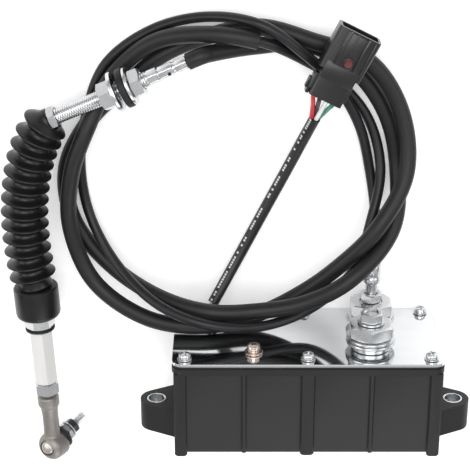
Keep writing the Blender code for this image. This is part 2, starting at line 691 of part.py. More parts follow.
def make_hub():
    """Crimped and threaded hub tube, two nuts, steel and rubber washers, and the clamp nut."""
    hex_from = GAP + CRIMP_LONG
    thread_from = hex_from + HUB_HEX_LONG
    end = CLAMP_NUT_FROM + CLAMP_NUT_THICK + HUB_BEYOND_NUT
    bore = HUB_BORE / 2
    crimp = CRIMP / 2
    thread = HUB_THREAD / 2
    flat = hexagon(HUB_HEX_FLATS, HUB_HEX_FLATS / 2 * 1.1)
    profile = [
        (bore, GAP), (crimp - 0.3, GAP), (crimp, GAP + 0.5), (crimp, GAP + 7), (crimp - 0.5, GAP + 8), (crimp - 0.5, GAP + 9.5),
        (crimp, GAP + 10.5), (crimp, hex_from - 0.8), (crimp - 0.5, hex_from), (flat, hex_from + 0.4), (flat, thread_from - 0.2),
        (thread - 0.7, thread_from), (thread, thread_from + 0.8), (thread, end - 0.8), (thread - 0.7, end), (bore, end),
    ]
    turned("hub_fitting", profile, ZINC, hub_place(0.0), 18, hollow=True)
    hole = HUB_THREAD + 2 * GAP
    at = RIGHT_NUT_FROM
    nut("hub_nut_inner", HUB_NUT_FLATS, RIGHT_NUT_THICK, hole, ZINC, hub_place(at))
    at += RIGHT_NUT_THICK + GAP
    washer("hub_thin_washer", THIN_WASHER, hole, THIN_WASHER_THICK, ZINC, hub_place(at), 28)
    at += THIN_WASHER_THICK + GAP
    washer("hub_rubber_washer", RUBBER_WASHER, hole, RUBBER_WASHER_THICK, RUBBER, hub_place(at), 28)
    at = THICK_WASHER_FROM
    washer("hub_thick_washer", THICK_WASHER, hole, THICK_WASHER_THICK, ZINC, hub_place(at), 28)
    at += THICK_WASHER_THICK + GAP
    nut("hub_nut_outer", HUB_NUT_FLATS, LEFT_NUT_THICK, hole, ZINC, hub_place(at))
    nut("clamp_nut", CLAMP_NUT_FLATS, CLAMP_NUT_THICK, hole, ZINC, hub_place(CLAMP_NUT_FROM))


def bellows_line(t):
    """Point and direction on the bellows' centre line, a cubic Bezier curve."""
    a = Vector(HUB_START) + hub_axis() * BELLOWS_FROM
    b = a + hub_axis() * BELLOWS_LEAVE
    c = Vector(BELLOWS_ARRIVE)
    d = Vector(BELLOWS_END)
    s = 1.0 - t
    point = a * s ** 3 + b * 3 * s * s * t + c * 3 * s * t * t + d * t ** 3
    slope = (b - a) * s * s + (c - b) * 2 * s * t + (d - c) * t * t
    return point + Vector((0, PLATE_Y, 0)), slope.normalized()


def bellows_ring(t, radius, sides, back=0.0):
    """Ring of points square to the bellows' centre line."""
    point, along = bellows_line(t)
    point = point - along * back
    up = Vector((0, 0, 1))
    across = along.cross(up).normalized()
    up = across.cross(along)
    ring = []
    for i in range(sides):
        angle = math.tau * i / sides
        ring.append(point + across * (radius * math.cos(angle)) + up * (radius * math.sin(angle)))
    return ring


def make_bellows():
    """Folded rubber sleeve: a neck on the hub tube, thirteen folds and an open foot on the cup."""
    sides = 18
    outer = FOLD_OUTER / 2
    root = FOLD_ROOT / 2
    neck_inner = HUB_THREAD / 2 + GAP
    stations = [(0.0, NECK_OUTER / 2, neck_inner, NECK_LONG * 0.45), (0.0, NECK_OUTER / 2, neck_inner, 0.0)]
    for fold in range(FOLDS):
        for share, level in ((0.05, 0.1), (0.36, 1.0), (0.62, 1.0)):
            radius = root + (outer - root) * level
            stations.append((0.015 + 0.975 * (fold + share) / FOLDS, radius, radius - BELLOWS_WALL, 0.0))
    stations.append((1.0, root + 1.5, root + 1.5 - BELLOWS_WALL, 0.0))
    rings = [bellows_ring(t, r_out, sides, back) for t, r_out, r_in, back in stations]
    rings += [bellows_ring(t, r_in, sides, back) for t, r_out, r_in, back in reversed(stations)]
    mesh_object("bellows", skin(rings, closed_loop=True), RUBBER)


def rod_axis():
    """Direction from the bellows' cup towards the rod end."""
    heading = math.radians(ROD_HEADING)
    return Vector((math.cos(heading), math.sin(heading), 0.0))


def rod_point(along):
    """Point on the rod's axis at a distance from the cup's top."""
    return Vector(ROD_TOP) + rod_axis() * along + Vector((0, PLATE_Y, 0))


def rod_place(along):
    """Place on the rod's axis with a corner of each hexagon upwards."""
    return frame_at(rod_point(along), rod_axis(), (0.25, 0, 1))


def make_rod():
    """Core wire, cup with its threaded shank, nut, seal, hexagon bar and jam nut."""
    core = CORE / 2
    start = Vector(HUB_START) + hub_axis() * (CLAMP_NUT_FROM - 12) + Vector((0, PLATE_Y, 0))
    end = Vector(HUB_START) + hub_axis() * (CLAMP_NUT_FROM + CLAMP_NUT_THICK + HUB_BEYOND_NUT) + Vector((0, PLATE_Y, 0))
    knots = [start, end] + [bellows_line(t)[0] for t in (0.2, 0.35, 0.5, 0.65, 0.8)]
    knots += [rod_point(-CUP_SPIGOT_LONG - 1), rod_point(CUP_LONG / 2)]
    tube("core_wire", spaced(curve_through(knots), 22), CORE, ZINC, 1)
    thread = ROD_THREAD / 2
    bar_from = CUP_LONG + CUP_NUT_THICK + SEAL_THICK + 3 * GAP
    wide = CUP / 2
    wire_bore = core + GAP
    profile = [
        (wire_bore, -CUP_SPIGOT_LONG), (CUP_SPIGOT / 2, -CUP_SPIGOT_LONG), (CUP_SPIGOT / 2, 0.0), (wide - 2.5, 0.0),
        (wide, 2.5), (wide, CUP_LONG - 5), (wide - 1.5, CUP_LONG - 1.8), (wide - 4, CUP_LONG), (thread, CUP_LONG),
        (thread, bar_from + THREAD_ENGAGED), (0.5, bar_from + THREAD_ENGAGED), (0.5, CUP_LONG * 0.75), (wire_bore, CUP_LONG * 0.75),
    ]
    turned("bellows_cup", profile, RUBBER, rod_place(0.0), 24, hollow=True)
    hole = ROD_THREAD + 2 * GAP
    at = CUP_LONG + GAP
    nut("cup_nut", CUP_NUT_FLATS, CUP_NUT_THICK, hole, ZINC, rod_place(at))
    at += CUP_NUT_THICK + GAP
    washer("seal_ring", SEAL_OUTER, hole, SEAL_THICK, RUBBER, rod_place(at))
    at += SEAL_THICK + GAP
    flats = hexagon(BAR_FLATS)
    ends = hexagon(BAR_FLATS, BAR_FLATS / 2)
    profile = [
        (hole / 2, 0.0), (ends, 0.0), (flats, 0.8), (flats, BAR_LONG - 0.8), (ends, BAR_LONG), (hole / 2, BAR_LONG),
    ]
    turned("hex_bar", profile, SATIN, rod_place(at), 18, hollow=True)
    at += BAR_LONG + GAP
    nut("jam_nut", JAM_NUT_FLATS, JAM_NUT_THICK, hole, ZINC, rod_place(at))


def make_rod_end():
    """Cast ball socket on its shank, with a spherical cavity, back window and flared mouth."""
    centre = rod_point(SOCKET_AT)
    nuts = CUP_NUT_THICK + JAM_NUT_THICK
    collar_from = CUP_LONG + nuts + SEAL_THICK + BAR_LONG + THREAD_SHOWN + 5 * GAP
    collar = ROD_END_COLLAR / 2
    neck = ROD_END_NECK / 2
    thread = ROD_THREAD / 2
    shank_top = collar_from - THREAD_SHOWN - JAM_NUT_THICK - GAP - THREAD_ENGAGED
    profile = [
        (thread - 0.6, shank_top), (thread, shank_top + 0.6), (thread, collar_from), (collar - 0.8, collar_from),
        (collar, collar_from + 0.8), (collar, collar_from + ROD_END_COLLAR_LONG - 2.5), (neck + 0.5, collar_from + ROD_END_COLLAR_LONG),
        (neck, collar_from + 15), (neck, collar_from + 24), (neck + 0.6, SOCKET_AT - 6),
    ]
    end = turned("rod_end", profile, CAST_GREY, rod_place(0.0), 20)
    outer = SOCKET_OUTER / 2
    place = frame_at(centre, SOCKET_AXIS, rod_axis())
    profile = [
        (outer * 0.58, -SOCKET_BACK - 0.6), (outer * 0.80, -SOCKET_BACK + 0.6), (outer * 0.95, -SOCKET_BACK + 2.6), (outer, -2.5),
        (outer, SOCKET_FRONT - 1.0), (outer - 0.6, SOCKET_FRONT),
    ]
    boolean(end, turned("head", profile, None, place, 24), "UNION")
    ball = BALL / 2 + GAP
    mouth = SOCKET_MOUTH / 2
    depth = math.sqrt(ball ** 2 - mouth ** 2)
    window = SOCKET_WINDOW / 2
    back = -math.sqrt(ball ** 2 - window ** 2)
    profile = [(window, -SOCKET_BACK - 3), (window, back)]
    first = math.atan2(back, window)
    last = math.atan2(depth, mouth)
    for i in range(1, 7):
        angle = first + (last - first) * i / 7
        profile.append((ball * math.cos(angle), ball * math.sin(angle)))
    profile += [(mouth, depth), (mouth + (SOCKET_FRONT + 1 - depth) * 0.84, SOCKET_FRONT + 1)]
    boolean(end, turned("socket", profile, None, place, 20), "DIFFERENCE")


def stud_place():
    """Place at the ball's centre with local Z along the stud, so the origin is on the joint's axis."""
    return frame_at(rod_point(SOCKET_AT), STUD_AXIS, rod_axis())


def make_stud():
    """Ball stud with its flange, rubber seal and flanged nut."""
    ball = BALL / 2
    neck = STUD_NECK / 2
    shank = STUD_SHANK / 2
    flange = hexagon(STUD_FLANGE_FLATS)
    flange_top = STUD_FLANGE_FROM + STUD_FLANGE_THICK
    start = -math.pi / 2
    last = math.acos(neck / ball)
    profile = []
    for i in range(1, 9):
        angle = start + (last - start) * i / 8
        profile.append((ball * math.cos(angle), ball * math.sin(angle)))
    profile += [
        (neck, STUD_FLANGE_FROM), (flange, STUD_FLANGE_FROM), (flange, flange_top), (shank, flange_top),
        (shank, STUD_LONG - 0.8), (shank - 0.7, STUD_LONG),
    ]
    turned("ball_stud", profile, ZINC, stud_place(), 18)
    bore = neck + GAP
    low = SOCKET_FRONT + 1.3
    high = STUD_FLANGE_FROM - GAP
    profile = [(bore, low), (4.0, low), (5.9, high - 0.5), (5.6, high), (bore, high)]
    turned("stud_seal", profile, RUBBER, stud_place(), 18, hollow=True)
    hole = STUD_SHANK / 2 + GAP
    at = flange_top + GAP
    flats = hexagon(STUD_NUT_FLATS)
    top = at + STUD_NUT_FLANGE_THICK + STUD_NUT_THICK
    profile = [
        (hole, at), (STUD_NUT_FLANGE / 2, at), (STUD_NUT_FLANGE / 2, at + STUD_NUT_FLANGE_THICK),
        (flats, at + STUD_NUT_FLANGE_THICK), (flats, top - 0.5), (STUD_NUT_FLATS / 2, top), (hole, top),
    ]
    turned("stud_nut", profile, ZINC, stud_place(), 18, hollow=True)


def make_grommet():
    """Rubber grommet held in the plate, open for the wires."""
    lip = GROMMET_OUTER / 2
    waist = GROMMET_HOLE / 2 + 1.1 - GAP
    bore = WIRE * 1.5
    low = -PLATE_THICK - GAP
    profile = [
        (bore, low - GROMMET_LIP), (lip, low - GROMMET_LIP), (lip, low), (waist, low),
        (waist, GAP), (lip, GAP), (lip - 0.5, GAP + GROMMET_LIP), (bore, GAP + GROMMET_LIP),
    ]
    place = frame_at((GROMMET_X, PLATE_Y, GROMMET_Z), (0, 1, 0), (1, 0, 0))
    turned("lead_grommet", profile, RUBBER, place, 18, hollow=True)


def make_lead():
    """Heat-shrink sleeve from above the box to short of the connector."""
    shift = Vector((0, PLATE_Y, 0))
    path = curve_through([Vector(p) + shift for p in LEAD_ROUTE])
    heading, centre = connector_axis()
    start, end = path[0], path[-1]
    leave = (path[1] - start).normalized()
    reach = (end - path[-2]).normalized()
    tube("lead_sleeve", [start, start + leave * 2] + spaced(path, 11)[1:-1] + [end - reach * 2, end], LEAD, VINYL)
    up = Vector((0, 0, 1))
    side = up.cross(reach).normalized()
    lift = reach.cross(side)
    across = up.cross(heading)
    half = WIRE / 2 + GAP
    wires = (
        ("red", RED, 1.5, 1, 1), ("black", BLACK_PLASTIC, 0.5, 1, -1),
        ("white", WHITE, -0.5, -1, -1), ("green", GREEN, -1.5, -1, 1),
    )
    for name, look, slot, sideways, upwards in wires:
        near = end + reach * GAP + side * (sideways * half) + lift * (upwards * half)
        port = centre + across * (slot * TERMINAL_PITCH) - heading * GAP
        middle = (end + centre) / 2 + across * (slot * TERMINAL_PITCH) + up * (upwards * half / 2)
        route = [near, near + reach * 2, middle, port - heading * 3, port]
        tube("wire_" + name, [near, near + reach * 1.5] + spaced(curve_through(route), 11)[1:-1] + [port - heading * 1.5, port], WIRE, look)
    base = Vector((GROMMET_X, PLATE_Y, GROMMET_Z))
    bundle = [
        base + Vector((0, -14.0, 0)), base + Vector((0, 3.0, 0)), base + Vector((-0.9, 7.5, -1.1)),
        start - leave * 3, start - leave * GAP,
    ]
    tube("plate_wires", spaced(curve_through(bundle), 13), WIRE * 2.2, RED)


def connector_axis():
    """Heading of the connector and the middle of its wire end."""
    rear = Vector((*CONNECTOR_REAR, 0))
    heading = (Vector((*CONNECTOR_FRONT, 0)) - rear).normalized()
    centre = rear + Vector((0, PLATE_Y, CONNECTOR_LOW + HOOD_TALL / 2))
    return heading, centre


def make_connector():
    """Hooded connector: open hood, narrower wire shell with four bores, side ears and a top latch rail."""
    heading, centre = connector_axis()
    long = (Vector((*CONNECTOR_FRONT, 0)) - Vector((*CONNECTOR_REAR, 0))).length
    place = frame_at(centre, heading, (heading.y, -heading.x, 0))
    shell = box_along("connector", SHELL_WIDE, SHELL_TALL, 0.0, long - HOOD_LONG + 2, 1.6, BLACK_PLASTIC, place)
    hood = box_along("hood", HOOD_WIDE, HOOD_TALL, long - HOOD_LONG, long, 2.4, None, place)
    boolean(shell, hood, "UNION")
    ears = box_along("ears", HOOD_WIDE - 2, 5.0, 3.0, 13.0, 1.2, None, place)
    boolean(shell, ears, "UNION")
    latch_place = place @ Matrix.Translation((0, (HOOD_TALL / 2 - 0.4) * MM, 0))
    boolean(shell, box_along("latch", 11.5, 2.4, long - HOOD_LONG - 1.0, long - 1.0, 0.8, None, latch_place), "UNION")
    mouth = box_along("mouth", HOOD_WIDE - 2 * HOOD_WALL, HOOD_TALL - 2 * HOOD_WALL, long - HOOD_DEEP, long + 2, 1.4, None, place)
    boolean(shell, mouth, "DIFFERENCE")
    for slot in (-1.5, -0.5, 0.5, 1.5):
        tool_place = place @ Matrix.Translation((slot * TERMINAL_PITCH * MM, 0, -1 * MM))
        boolean(shell, turned("bore", [(TERMINAL_BORE / 2, 0), (TERMINAL_BORE / 2, TERMINAL_DEEP)], None, tool_place, 14), "DIFFERENCE")
    seal_low = long - HOOD_DEEP + GAP
    outer = rounded_box(HOOD_WIDE / 2 - HOOD_WALL - GAP, -HOOD_TALL / 2 + HOOD_WALL + GAP, HOOD_TALL / 2 - HOOD_WALL - GAP, 1.2, 3)
    inner = rounded_box(HOOD_WIDE / 2 - HOOD_WALL - 2.2, -HOOD_TALL / 2 + HOOD_WALL + 2.0, HOOD_TALL / 2 - HOOD_WALL - 2.0, 0.8, 3)
    rings = []
    for outline, height in ((outer, seal_low), (outer, seal_low + 2.2), (inner, seal_low + 2.2), (inner, seal_low)):
        rings.append([(x, y, height) for x, y in outline])
    mesh_object("connector_seal", skin(rings, closed_loop=True), RED, place)


def box_along(name, wide, tall, start, end, corner, look, place):
    """Round-cornered bar along local Z."""
    outline = rounded_box(wide / 2, -tall / 2, tall / 2, corner, 3)
    rings = [[(x, y, height) for x, y in outline] for height in (start, end)]
    return mesh_object(name, skin(rings), look, place)


def gear(name, teeth, thick, bore, look, place):
    """Spur gear with straight-flanked teeth and a gap at angle zero, standing on its place."""
    pitch = teeth * GEAR_MODULE / 2
    root = pitch - GEAR_MODULE * TOOTH_ROOT
    tip = pitch + GEAR_MODULE * TOOTH_TIP
    rings = []
    for inside, height in ((True, 0.0), (False, 0.0), (False, thick), (True, thick)):
        ring = []
        for i in range(teeth):
            for share, radius in ((0.26, root), (0.41, tip), (0.59, tip), (0.74, root)):
                angle = math.tau * (i + share) / teeth
                r = bore / 2 if inside else radius
                ring.append((r * math.cos(angle), r * math.sin(angle), height))
        rings.append(ring)
    return mesh_object(name, skin(rings, closed_loop=True), look, place)


def make_mechanism():
    """Motor, reduction gears, rack, frame, sensor and board held inside the box."""
    floor = PLATE_Y - BODY_DROP + FLOOR
    low = PANEL_RECESS + WALL
    pitch = GEAR_TEETH * GEAR_MODULE / 2
    rack_x = OUTLET_X
    mesh = GEAR_MODULE * TOOTH_TIP - GAP
    gear_x = rack_x - RACK_WIDE / 2 - pitch + mesh
    gear_y = floor + 24.0
    plane = OUTLET_REAR_Z - RACK_THICK / 2
    tooth = math.pi * GEAR_MODULE
    depth = GEAR_MODULE * (TOOTH_TIP + TOOTH_ROOT)
    face = rack_x - RACK_WIDE / 2
    room_below = gear_y - floor - RACK_TRAVEL - 2 * GAP
    room_above = PLATE_Y - ADAPTER_BELOW - RACK_TRAVEL - 2 * GAP - gear_y
    teeth_below = int(room_below / tooth - 0.5)
    teeth_above = int(room_above / tooth - 0.5)
    rack_low = gear_y - (teeth_below + 0.5) * tooth
    rack_high = gear_y + (teeth_above + 0.5) * tooth
    rack = block("rack", (face, rack_low, plane), (face + RACK_WIDE, rack_high, plane + RACK_THICK), BRASS)
    for i in range(-teeth_below - 1, teeth_above + 1):
        y = gear_y + (i + 0.19) * tooth
        notch = block("notch", (face - 1, y, plane - 1), (face + depth, y + tooth * 0.62, plane + RACK_THICK + 1), None)
        boolean(rack, notch, "DIFFERENCE")
    place = frame_at((gear_x, gear_y, plane), (0, 0, 1), (1, 0, 0))
    gear("output_gear", GEAR_TEETH, RACK_THICK, 6.0 + 2 * GAP, BRASS, place)
    motor_pitch = MOTOR_TEETH * GEAR_MODULE / 2
    motor_x = gear_x - pitch - motor_pitch - GAP
    half_tooth = math.pi / MOTOR_TEETH
    motor_place = frame_at((motor_x, gear_y, plane), (0, 0, 1), (math.cos(half_tooth), math.sin(half_tooth), 0))
    gear("motor_pinion", MOTOR_TEETH, RACK_THICK, 2.6, BRASS, motor_place)
    frame_low = plane - GAP - FRAME_THICK
    left, right = motor_x - 20, rack_x + RACK_WIDE / 2 + 1
    frame = block("gear_frame", (left, floor + GAP, frame_low), (right, gear_y + 16, frame_low + FRAME_THICK), SATIN)
    for x in (left, right - 7):
        leg = block("leg", (x, floor + GAP, low + GAP), (x + 7, floor + 14, frame_low + 1), None)
        boolean(frame, leg, "UNION")
    top = plane + RACK_THICK + 2.0
    sensor_z = top + 4.0
    radius = MOTOR / 2
    wall_x = motor_x - radius - GAP
    wall = block("wall", (wall_x - 4, gear_y - 8, frame_low + 1), (wall_x, gear_y + 8, top + MOTOR_LONG - 8), None)
    boolean(frame, wall, "UNION")
    post_place = frame_at((gear_x, gear_y, frame_low), (0, 0, 1), (1, 0, 0))
    post_tall = sensor_z - GAP - frame_low
    boolean(frame, turned("post", [(3.0, 0.0), (3.0, post_tall)], None, post_place, 20), "UNION")
    profile = [
        (1.0, -RACK_THICK - 1.5), (1.0, 0.0), (5.0, 0.0), (5.0, 1.6), (radius - 0.8, 1.6), (radius, 2.4), (radius, MOTOR_LONG), (radius - 2, MOTOR_LONG + 1),
    ]
    turned("motor", profile, ZINC, frame_at((motor_x, gear_y, top), (0, 0, 1), (1, 0, 0)), 24)
    block("position_sensor", (gear_x - 8, gear_y - 10, sensor_z), (gear_x + 8, gear_y + 10, sensor_z + 9), BLACK_PLASTIC)
    board_x = WALL + GAP - BOX_LENGTH / 2
    block("circuit_board", (board_x, floor + 3, low + 8), (board_x + 1.6, PLATE_Y - 12.5, BOX_HEIGHT - low - 8), BOARD)


def build():
    """Model every piece in assembly order."""
    clear_scene()
    make_housing()
    make_bushes()
    make_gasket()
    make_cover()
    make_screws()
    make_mechanism()
    make_outlets()
    make_cable()
    make_hub()
    make_bellows()
    make_rod()
    make_rod_end()
    make_stud()
    make_grommet()
    make_lead()
    make_connector()


build()
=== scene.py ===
"""Looks of an engine governor actuator: motor box, coiled push-pull cable, bellows, rod end and wired lead."""
import math

import bmesh
import bpy
from mathutils import Matrix, Vector


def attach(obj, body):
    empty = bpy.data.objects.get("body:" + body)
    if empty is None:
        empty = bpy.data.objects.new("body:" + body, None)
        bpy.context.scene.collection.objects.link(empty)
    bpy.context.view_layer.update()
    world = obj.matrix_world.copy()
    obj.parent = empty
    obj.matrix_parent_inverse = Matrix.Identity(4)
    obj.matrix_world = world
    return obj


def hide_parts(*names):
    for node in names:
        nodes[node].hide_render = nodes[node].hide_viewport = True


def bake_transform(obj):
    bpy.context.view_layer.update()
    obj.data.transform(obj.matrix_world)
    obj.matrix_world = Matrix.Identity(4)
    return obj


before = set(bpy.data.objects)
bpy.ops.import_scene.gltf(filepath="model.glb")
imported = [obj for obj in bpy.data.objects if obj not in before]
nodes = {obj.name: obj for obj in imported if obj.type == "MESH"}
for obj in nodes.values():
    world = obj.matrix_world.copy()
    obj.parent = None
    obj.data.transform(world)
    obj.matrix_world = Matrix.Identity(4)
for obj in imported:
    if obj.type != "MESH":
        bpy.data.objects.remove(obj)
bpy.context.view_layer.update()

# ---------------------------------------------------------------- studio
# A pale table top under soft, even light from overhead and from the camera's side, with the camera
# looking down at the box from beyond the coil, as in the photograph. Three dark cards round the table, which
# the camera doesn't see, put the dark streaks into the bright metal.

camera = bpy.data.objects.new("camera", bpy.data.cameras.new("camera"))
camera.data.sensor_width = 36.0
camera.data.lens = 110.4
camera.data.clip_end = 20.0
camera.location = (-0.04565, 0.4425, 0.8636)
camera.rotation_euler = (math.radians(-23.6), 0.0, 0.0)
bpy.context.collection.objects.link(camera)
bpy.context.scene.camera = camera


class Value:
    """A socket's value; arithmetic on it adds Math nodes."""

    def __init__(self, finish, socket):
        self.finish = finish
        self.socket = socket

    def join(self, operation, first, second):
        return self.finish.add("ShaderNodeMath", {"operation": operation}, {0: first, 1: second})

    def __add__(self, other):
        return self.join("ADD", self, other)

    def __radd__(self, other):
        return self.join("ADD", other, self)

    def __sub__(self, other):
        return self.join("SUBTRACT", self, other)

    def __rsub__(self, other):
        return self.join("SUBTRACT", other, self)

    def __mul__(self, other):
        return self.join("MULTIPLY", self, other)

    def __rmul__(self, other):
        return self.join("MULTIPLY", other, self)

    def __truediv__(self, other):
        return self.join("DIVIDE", self, other)

    def __lt__(self, other):
        return self.join("LESS_THAN", self, other)

    def __gt__(self, other):
        return self.join("GREATER_THAN", self, other)


class Finish:
    """A material with its principled shader; constants go straight on the shader's sockets."""

    def __init__(self, name, **constants):
        self.material = bpy.data.materials.new(name)
        self.material.use_nodes = True
        self.tree = self.material.node_tree
        self.shader = self.tree.nodes["Principled BSDF"]
        for socket, value in constants.items():
            self.feed(self.shader.inputs[socket.replace("_", " ").title().replace("Ior", "IOR")], value)

    def feed(self, socket, value):
        if isinstance(value, Value):
            self.tree.links.new(value.socket, socket)
        else:
            socket.default_value = value

    def add(self, kind, settings, sockets, output=0):
        node = self.tree.nodes.new(kind)
        for name, value in settings.items():
            setattr(node, name, value)
        for name, value in sockets.items():
            self.feed(node.inputs[name], value)
        return Value(self, node.outputs[output])

    def position(self, scale=(1.0, 1.0, 1.0)):
        place = self.add("ShaderNodeTexCoord", {}, {}, 3)
        return self.add("ShaderNodeMapping", {}, {"Vector": place, "Scale": scale})

    def noise(self, scale, detail=3.0, rough=0.55, stretch=(1.0, 1.0, 1.0)):
        sockets = {"Vector": self.position(stretch), "Scale": scale, "Detail": detail, "Roughness": rough}
        return self.add("ShaderNodeTexNoise", {}, sockets)

    def mix(self, mask, first, second):
        """Colour between two shades, each a triple of red, green and blue or a Value."""
        shades = [shade if isinstance(shade, Value) else (*shade, 1.0) for shade in (first, second)]
        return self.add("ShaderNodeMix", {"data_type": "RGBA"}, {0: mask, 6: shades[0], 7: shades[1]}, 2)

    def wear(self, colour=None, roughness=None, metallic=None, bump=None, strength=0.2, depth=0.0002):
        if colour is not None:
            self.feed(self.shader.inputs["Base Color"], colour)
        if roughness is not None:
            self.feed(self.shader.inputs["Roughness"], roughness)
        if metallic is not None:
            self.feed(self.shader.inputs["Metallic"], metallic)
        if bump is not None:
            normal = self.add("ShaderNodeBump", {}, {"Strength": strength, "Distance": depth, "Height": bump})
            self.feed(self.shader.inputs["Normal"], normal)
        return self

    def vary(self, mask, dark, light, spread, least, **more):
        """Let one mask move the colour between two shades and the roughness up from its least."""
        return self.wear(colour=self.mix(mask, dark, light), roughness=mask * spread + least, **more)


glow = {"emission_color": (1.0, 1.0, 1.0, 1.0), "emission_strength": 0.22}
table_paint = Finish("pale_table", specular_ior_level=0.15, **glow)
cloud = table_paint.noise(3.0)
table_paint.wear(
    colour=table_paint.mix(cloud, (0.90, 0.90, 0.90), (0.93, 0.93, 0.93)),
    roughness=table_paint.noise(40.0) * 0.1 + 0.75,
)


def made_object(name, work, finish=None, sharp=None):
    """Turn a bmesh into an object, shaded smooth up to an angle where one is given."""
    mesh = bpy.data.meshes.new(name)
    work.to_mesh(mesh)
    work.free()
    if finish:
        mesh.materials.append(finish.material)
    if sharp:
        mesh.shade_smooth()
        mesh.set_sharp_from_angle(angle=math.radians(sharp))
    item = bpy.data.objects.new(name, mesh)
    bpy.context.collection.objects.link(item)
    return item


sheet = bmesh.new()
sheet.faces.new([sheet.verts.new((x, y, -0.0006)) for x, y in ((-3, -3), (3, -3), (3, 3), (-3, 3))])
table = made_object("table_top", sheet, table_paint)

world = bpy.data.worlds.new("soft_room")
world.use_nodes = True
world.node_tree.nodes["Background"].inputs["Color"].default_value = (1.0, 1.0, 1.0, 1.0)
world.node_tree.nodes["Background"].inputs["Strength"].default_value = 0.62
bpy.context.scene.world = world
bpy.context.scene.view_settings.view_transform = "Standard"

card_paint = Finish("dark_card", specular_ior_level=0.0)
felt = card_paint.noise(4.0)
card_paint.wear(colour=card_paint.mix(felt, (0.08, 0.08, 0.08), (0.12, 0.12, 0.12)))
cards = (
    ("left_card", -1.3, 0.1, 1.5, 90.0), ("right_card", 1.2, 0.1, 1.3, 90.0), ("far_card", 0.0, 1.7, 1.6, 0.0),
)
for name, x, y, wide, turn in cards:
    sheet = bmesh.new()
    outline = ((-1, 0.05), (1, 0.05), (1, 0.55), (-1, 0.55))
    sheet.faces.new([sheet.verts.new((u * wide / 2, 0.0, v)) for u, v in outline])
    bmesh.ops.rotate(sheet, cent=(0, 0, 0), matrix=Matrix.Rotation(math.radians(turn), 3, "Z"), verts=sheet.verts)
    bmesh.ops.translate(sheet, vec=(x, y, 0.0), verts=sheet.verts)
    card = made_object(name, sheet, card_paint)
    card.visible_camera = False

lights = (
    ("overhead_panel", (-0.05, 0.55, 1.30), (-0.05, 0.03, 0.0), 1.1, 13.0),
    ("left_panel", (-1.10, 0.20, 0.70), (-0.05, 0.02, 0.0), 0.8, 5.0),
    ("right_panel", (1.00, 0.35, 0.80), (-0.05, 0.05, 0.0), 0.7, 4.0),
    ("near_panel", (0.25, -1.10, 0.75), (0.0, 0.0, 0.03), 0.9, 6.0),
)
for name, place, target, size, power in lights:
    lamp = bpy.data.objects.new(name, bpy.data.lights.new(name, "AREA"))
    lamp.data.shape = "SQUARE"
    lamp.data.size = size
    lamp.data.energy = power
    lamp.location = place
    lamp.rotation_euler = (Vector(target) - Vector(place)).to_track_quat("-Z", "Y").to_euler()
    bpy.context.collection.objects.link(lamp)

# ---------------------------------------------------------------- push-pull cable
# One long steel-cored cable: a thin bare conduit with a hard black jacket leaves the rear outlet, and its
# far stretch is drawn into a thicker sleeve. It lies in a springy, crossing coil on the table.

BARE = 0.0065
SLEEVED = 0.0105
PLATE = 0.012                       # cover plate's outer face
REAR_OUTLET = (0.0425, 0.0224)      # its x and z
coil_centre = (-0.047, 0.104)
bare_rows = [
    (0.0970, 0.0125), (0.0865, 0.0060), (0.0840, 0.0095), (0.0845, 0.0130), (0.0890, 0.0220), (0.0982, 0.0245),
    (0.0990, 0.0085), (0.1013, 0.0039), (0.1030, 0.0039), (0.0980, 0.0039), (0.0970, 0.0039), (0.0980, 0.0070),
    (0.0970, 0.0215), (0.0940, 0.0415), (0.0915, 0.0520), (0.0960, 0.0460), (0.1025, 0.0300), (0.1010, 0.0242),
    (0.0930, 0.0226), (0.0935, 0.0095), (0.0905, 0.0039), (0.0855, 0.0042), (0.0835, 0.0120),
]
sleeved_rows = [
    (0.0885, 0.0260), (0.0920, 0.0230), (0.0955, 0.0116), (0.0955, 0.0088), (0.0950, 0.0238), (0.1010, 0.0240),
    (0.1100, 0.0200), (0.1160, 0.0225), (0.1095, 0.0335), (0.0995, 0.0380), (0.0960, 0.0275), (0.0920, 0.0245),
    (0.0905, 0.0295), (0.0960, 0.0330), (0.1085, 0.0210), (0.1115, 0.0140), (0.1095, 0.0135), (0.0975, 0.0160),
    (0.0940, 0.0135), (0.0860, 0.0058), (0.0848, 0.0058), (0.0848, 0.0058), (0.0950, 0.0124), (0.1055, 0.0105),
    (0.1090, 0.0070), (0.1040, 0.0115), (0.0940, 0.0300), (0.0875, 0.0415), (0.0880, 0.0395), (0.0925, 0.0410),
    (0.0980, 0.0415), (0.1080, 0.0220), (0.1045, 0.0062), (0.1020, 0.0058), (0.0985, 0.0058), (0.0920, 0.0058),
    (0.0805, 0.0090), (0.0805, 0.0255),
]
hub_start = Vector((-0.0740, 0.1793 + PLATE, 0.0288))
hub_end = Vector((-0.1539, 0.1448 + PLATE, 0.0276))
hub_axis = (hub_end - hub_start).normalized()


def smooth_route(knots, per=12):
    """Centripetal curve through route points."""
    p = [Vector(k) for k in knots]
    p = [p[0] * 2 - p[1]] + p + [p[-1] * 2 - p[-2]]
    line = []
    for a, b, c, d in zip(p, p[1:], p[2:], p[3:]):
        ta, tb, tc = (max(1e-7, v.length ** 0.5) for v in (b - a, c - b, d - c))
        leaving = ((b - a) / ta - (c - a) / (ta + tb) + (c - b) / tb) * tb
        arriving = ((c - b) / tb - (d - b) / (tb + tc) + (d - c) / tc) * tb
        for k in range(per):
            t = k / per
            line.append(
                b * (2 * t ** 3 - 3 * t ** 2 + 1) + leaving * (t ** 3 - 2 * t ** 2 + t)
                + c * (3 * t ** 2 - 2 * t ** 3) + arriving * (t ** 3 - t ** 2)
            )
    line.append(p[-2])
    return line


def length_of(line):
    """Length along a list of points."""
    return sum((b - a).length for a, b in zip(line, line[1:]))


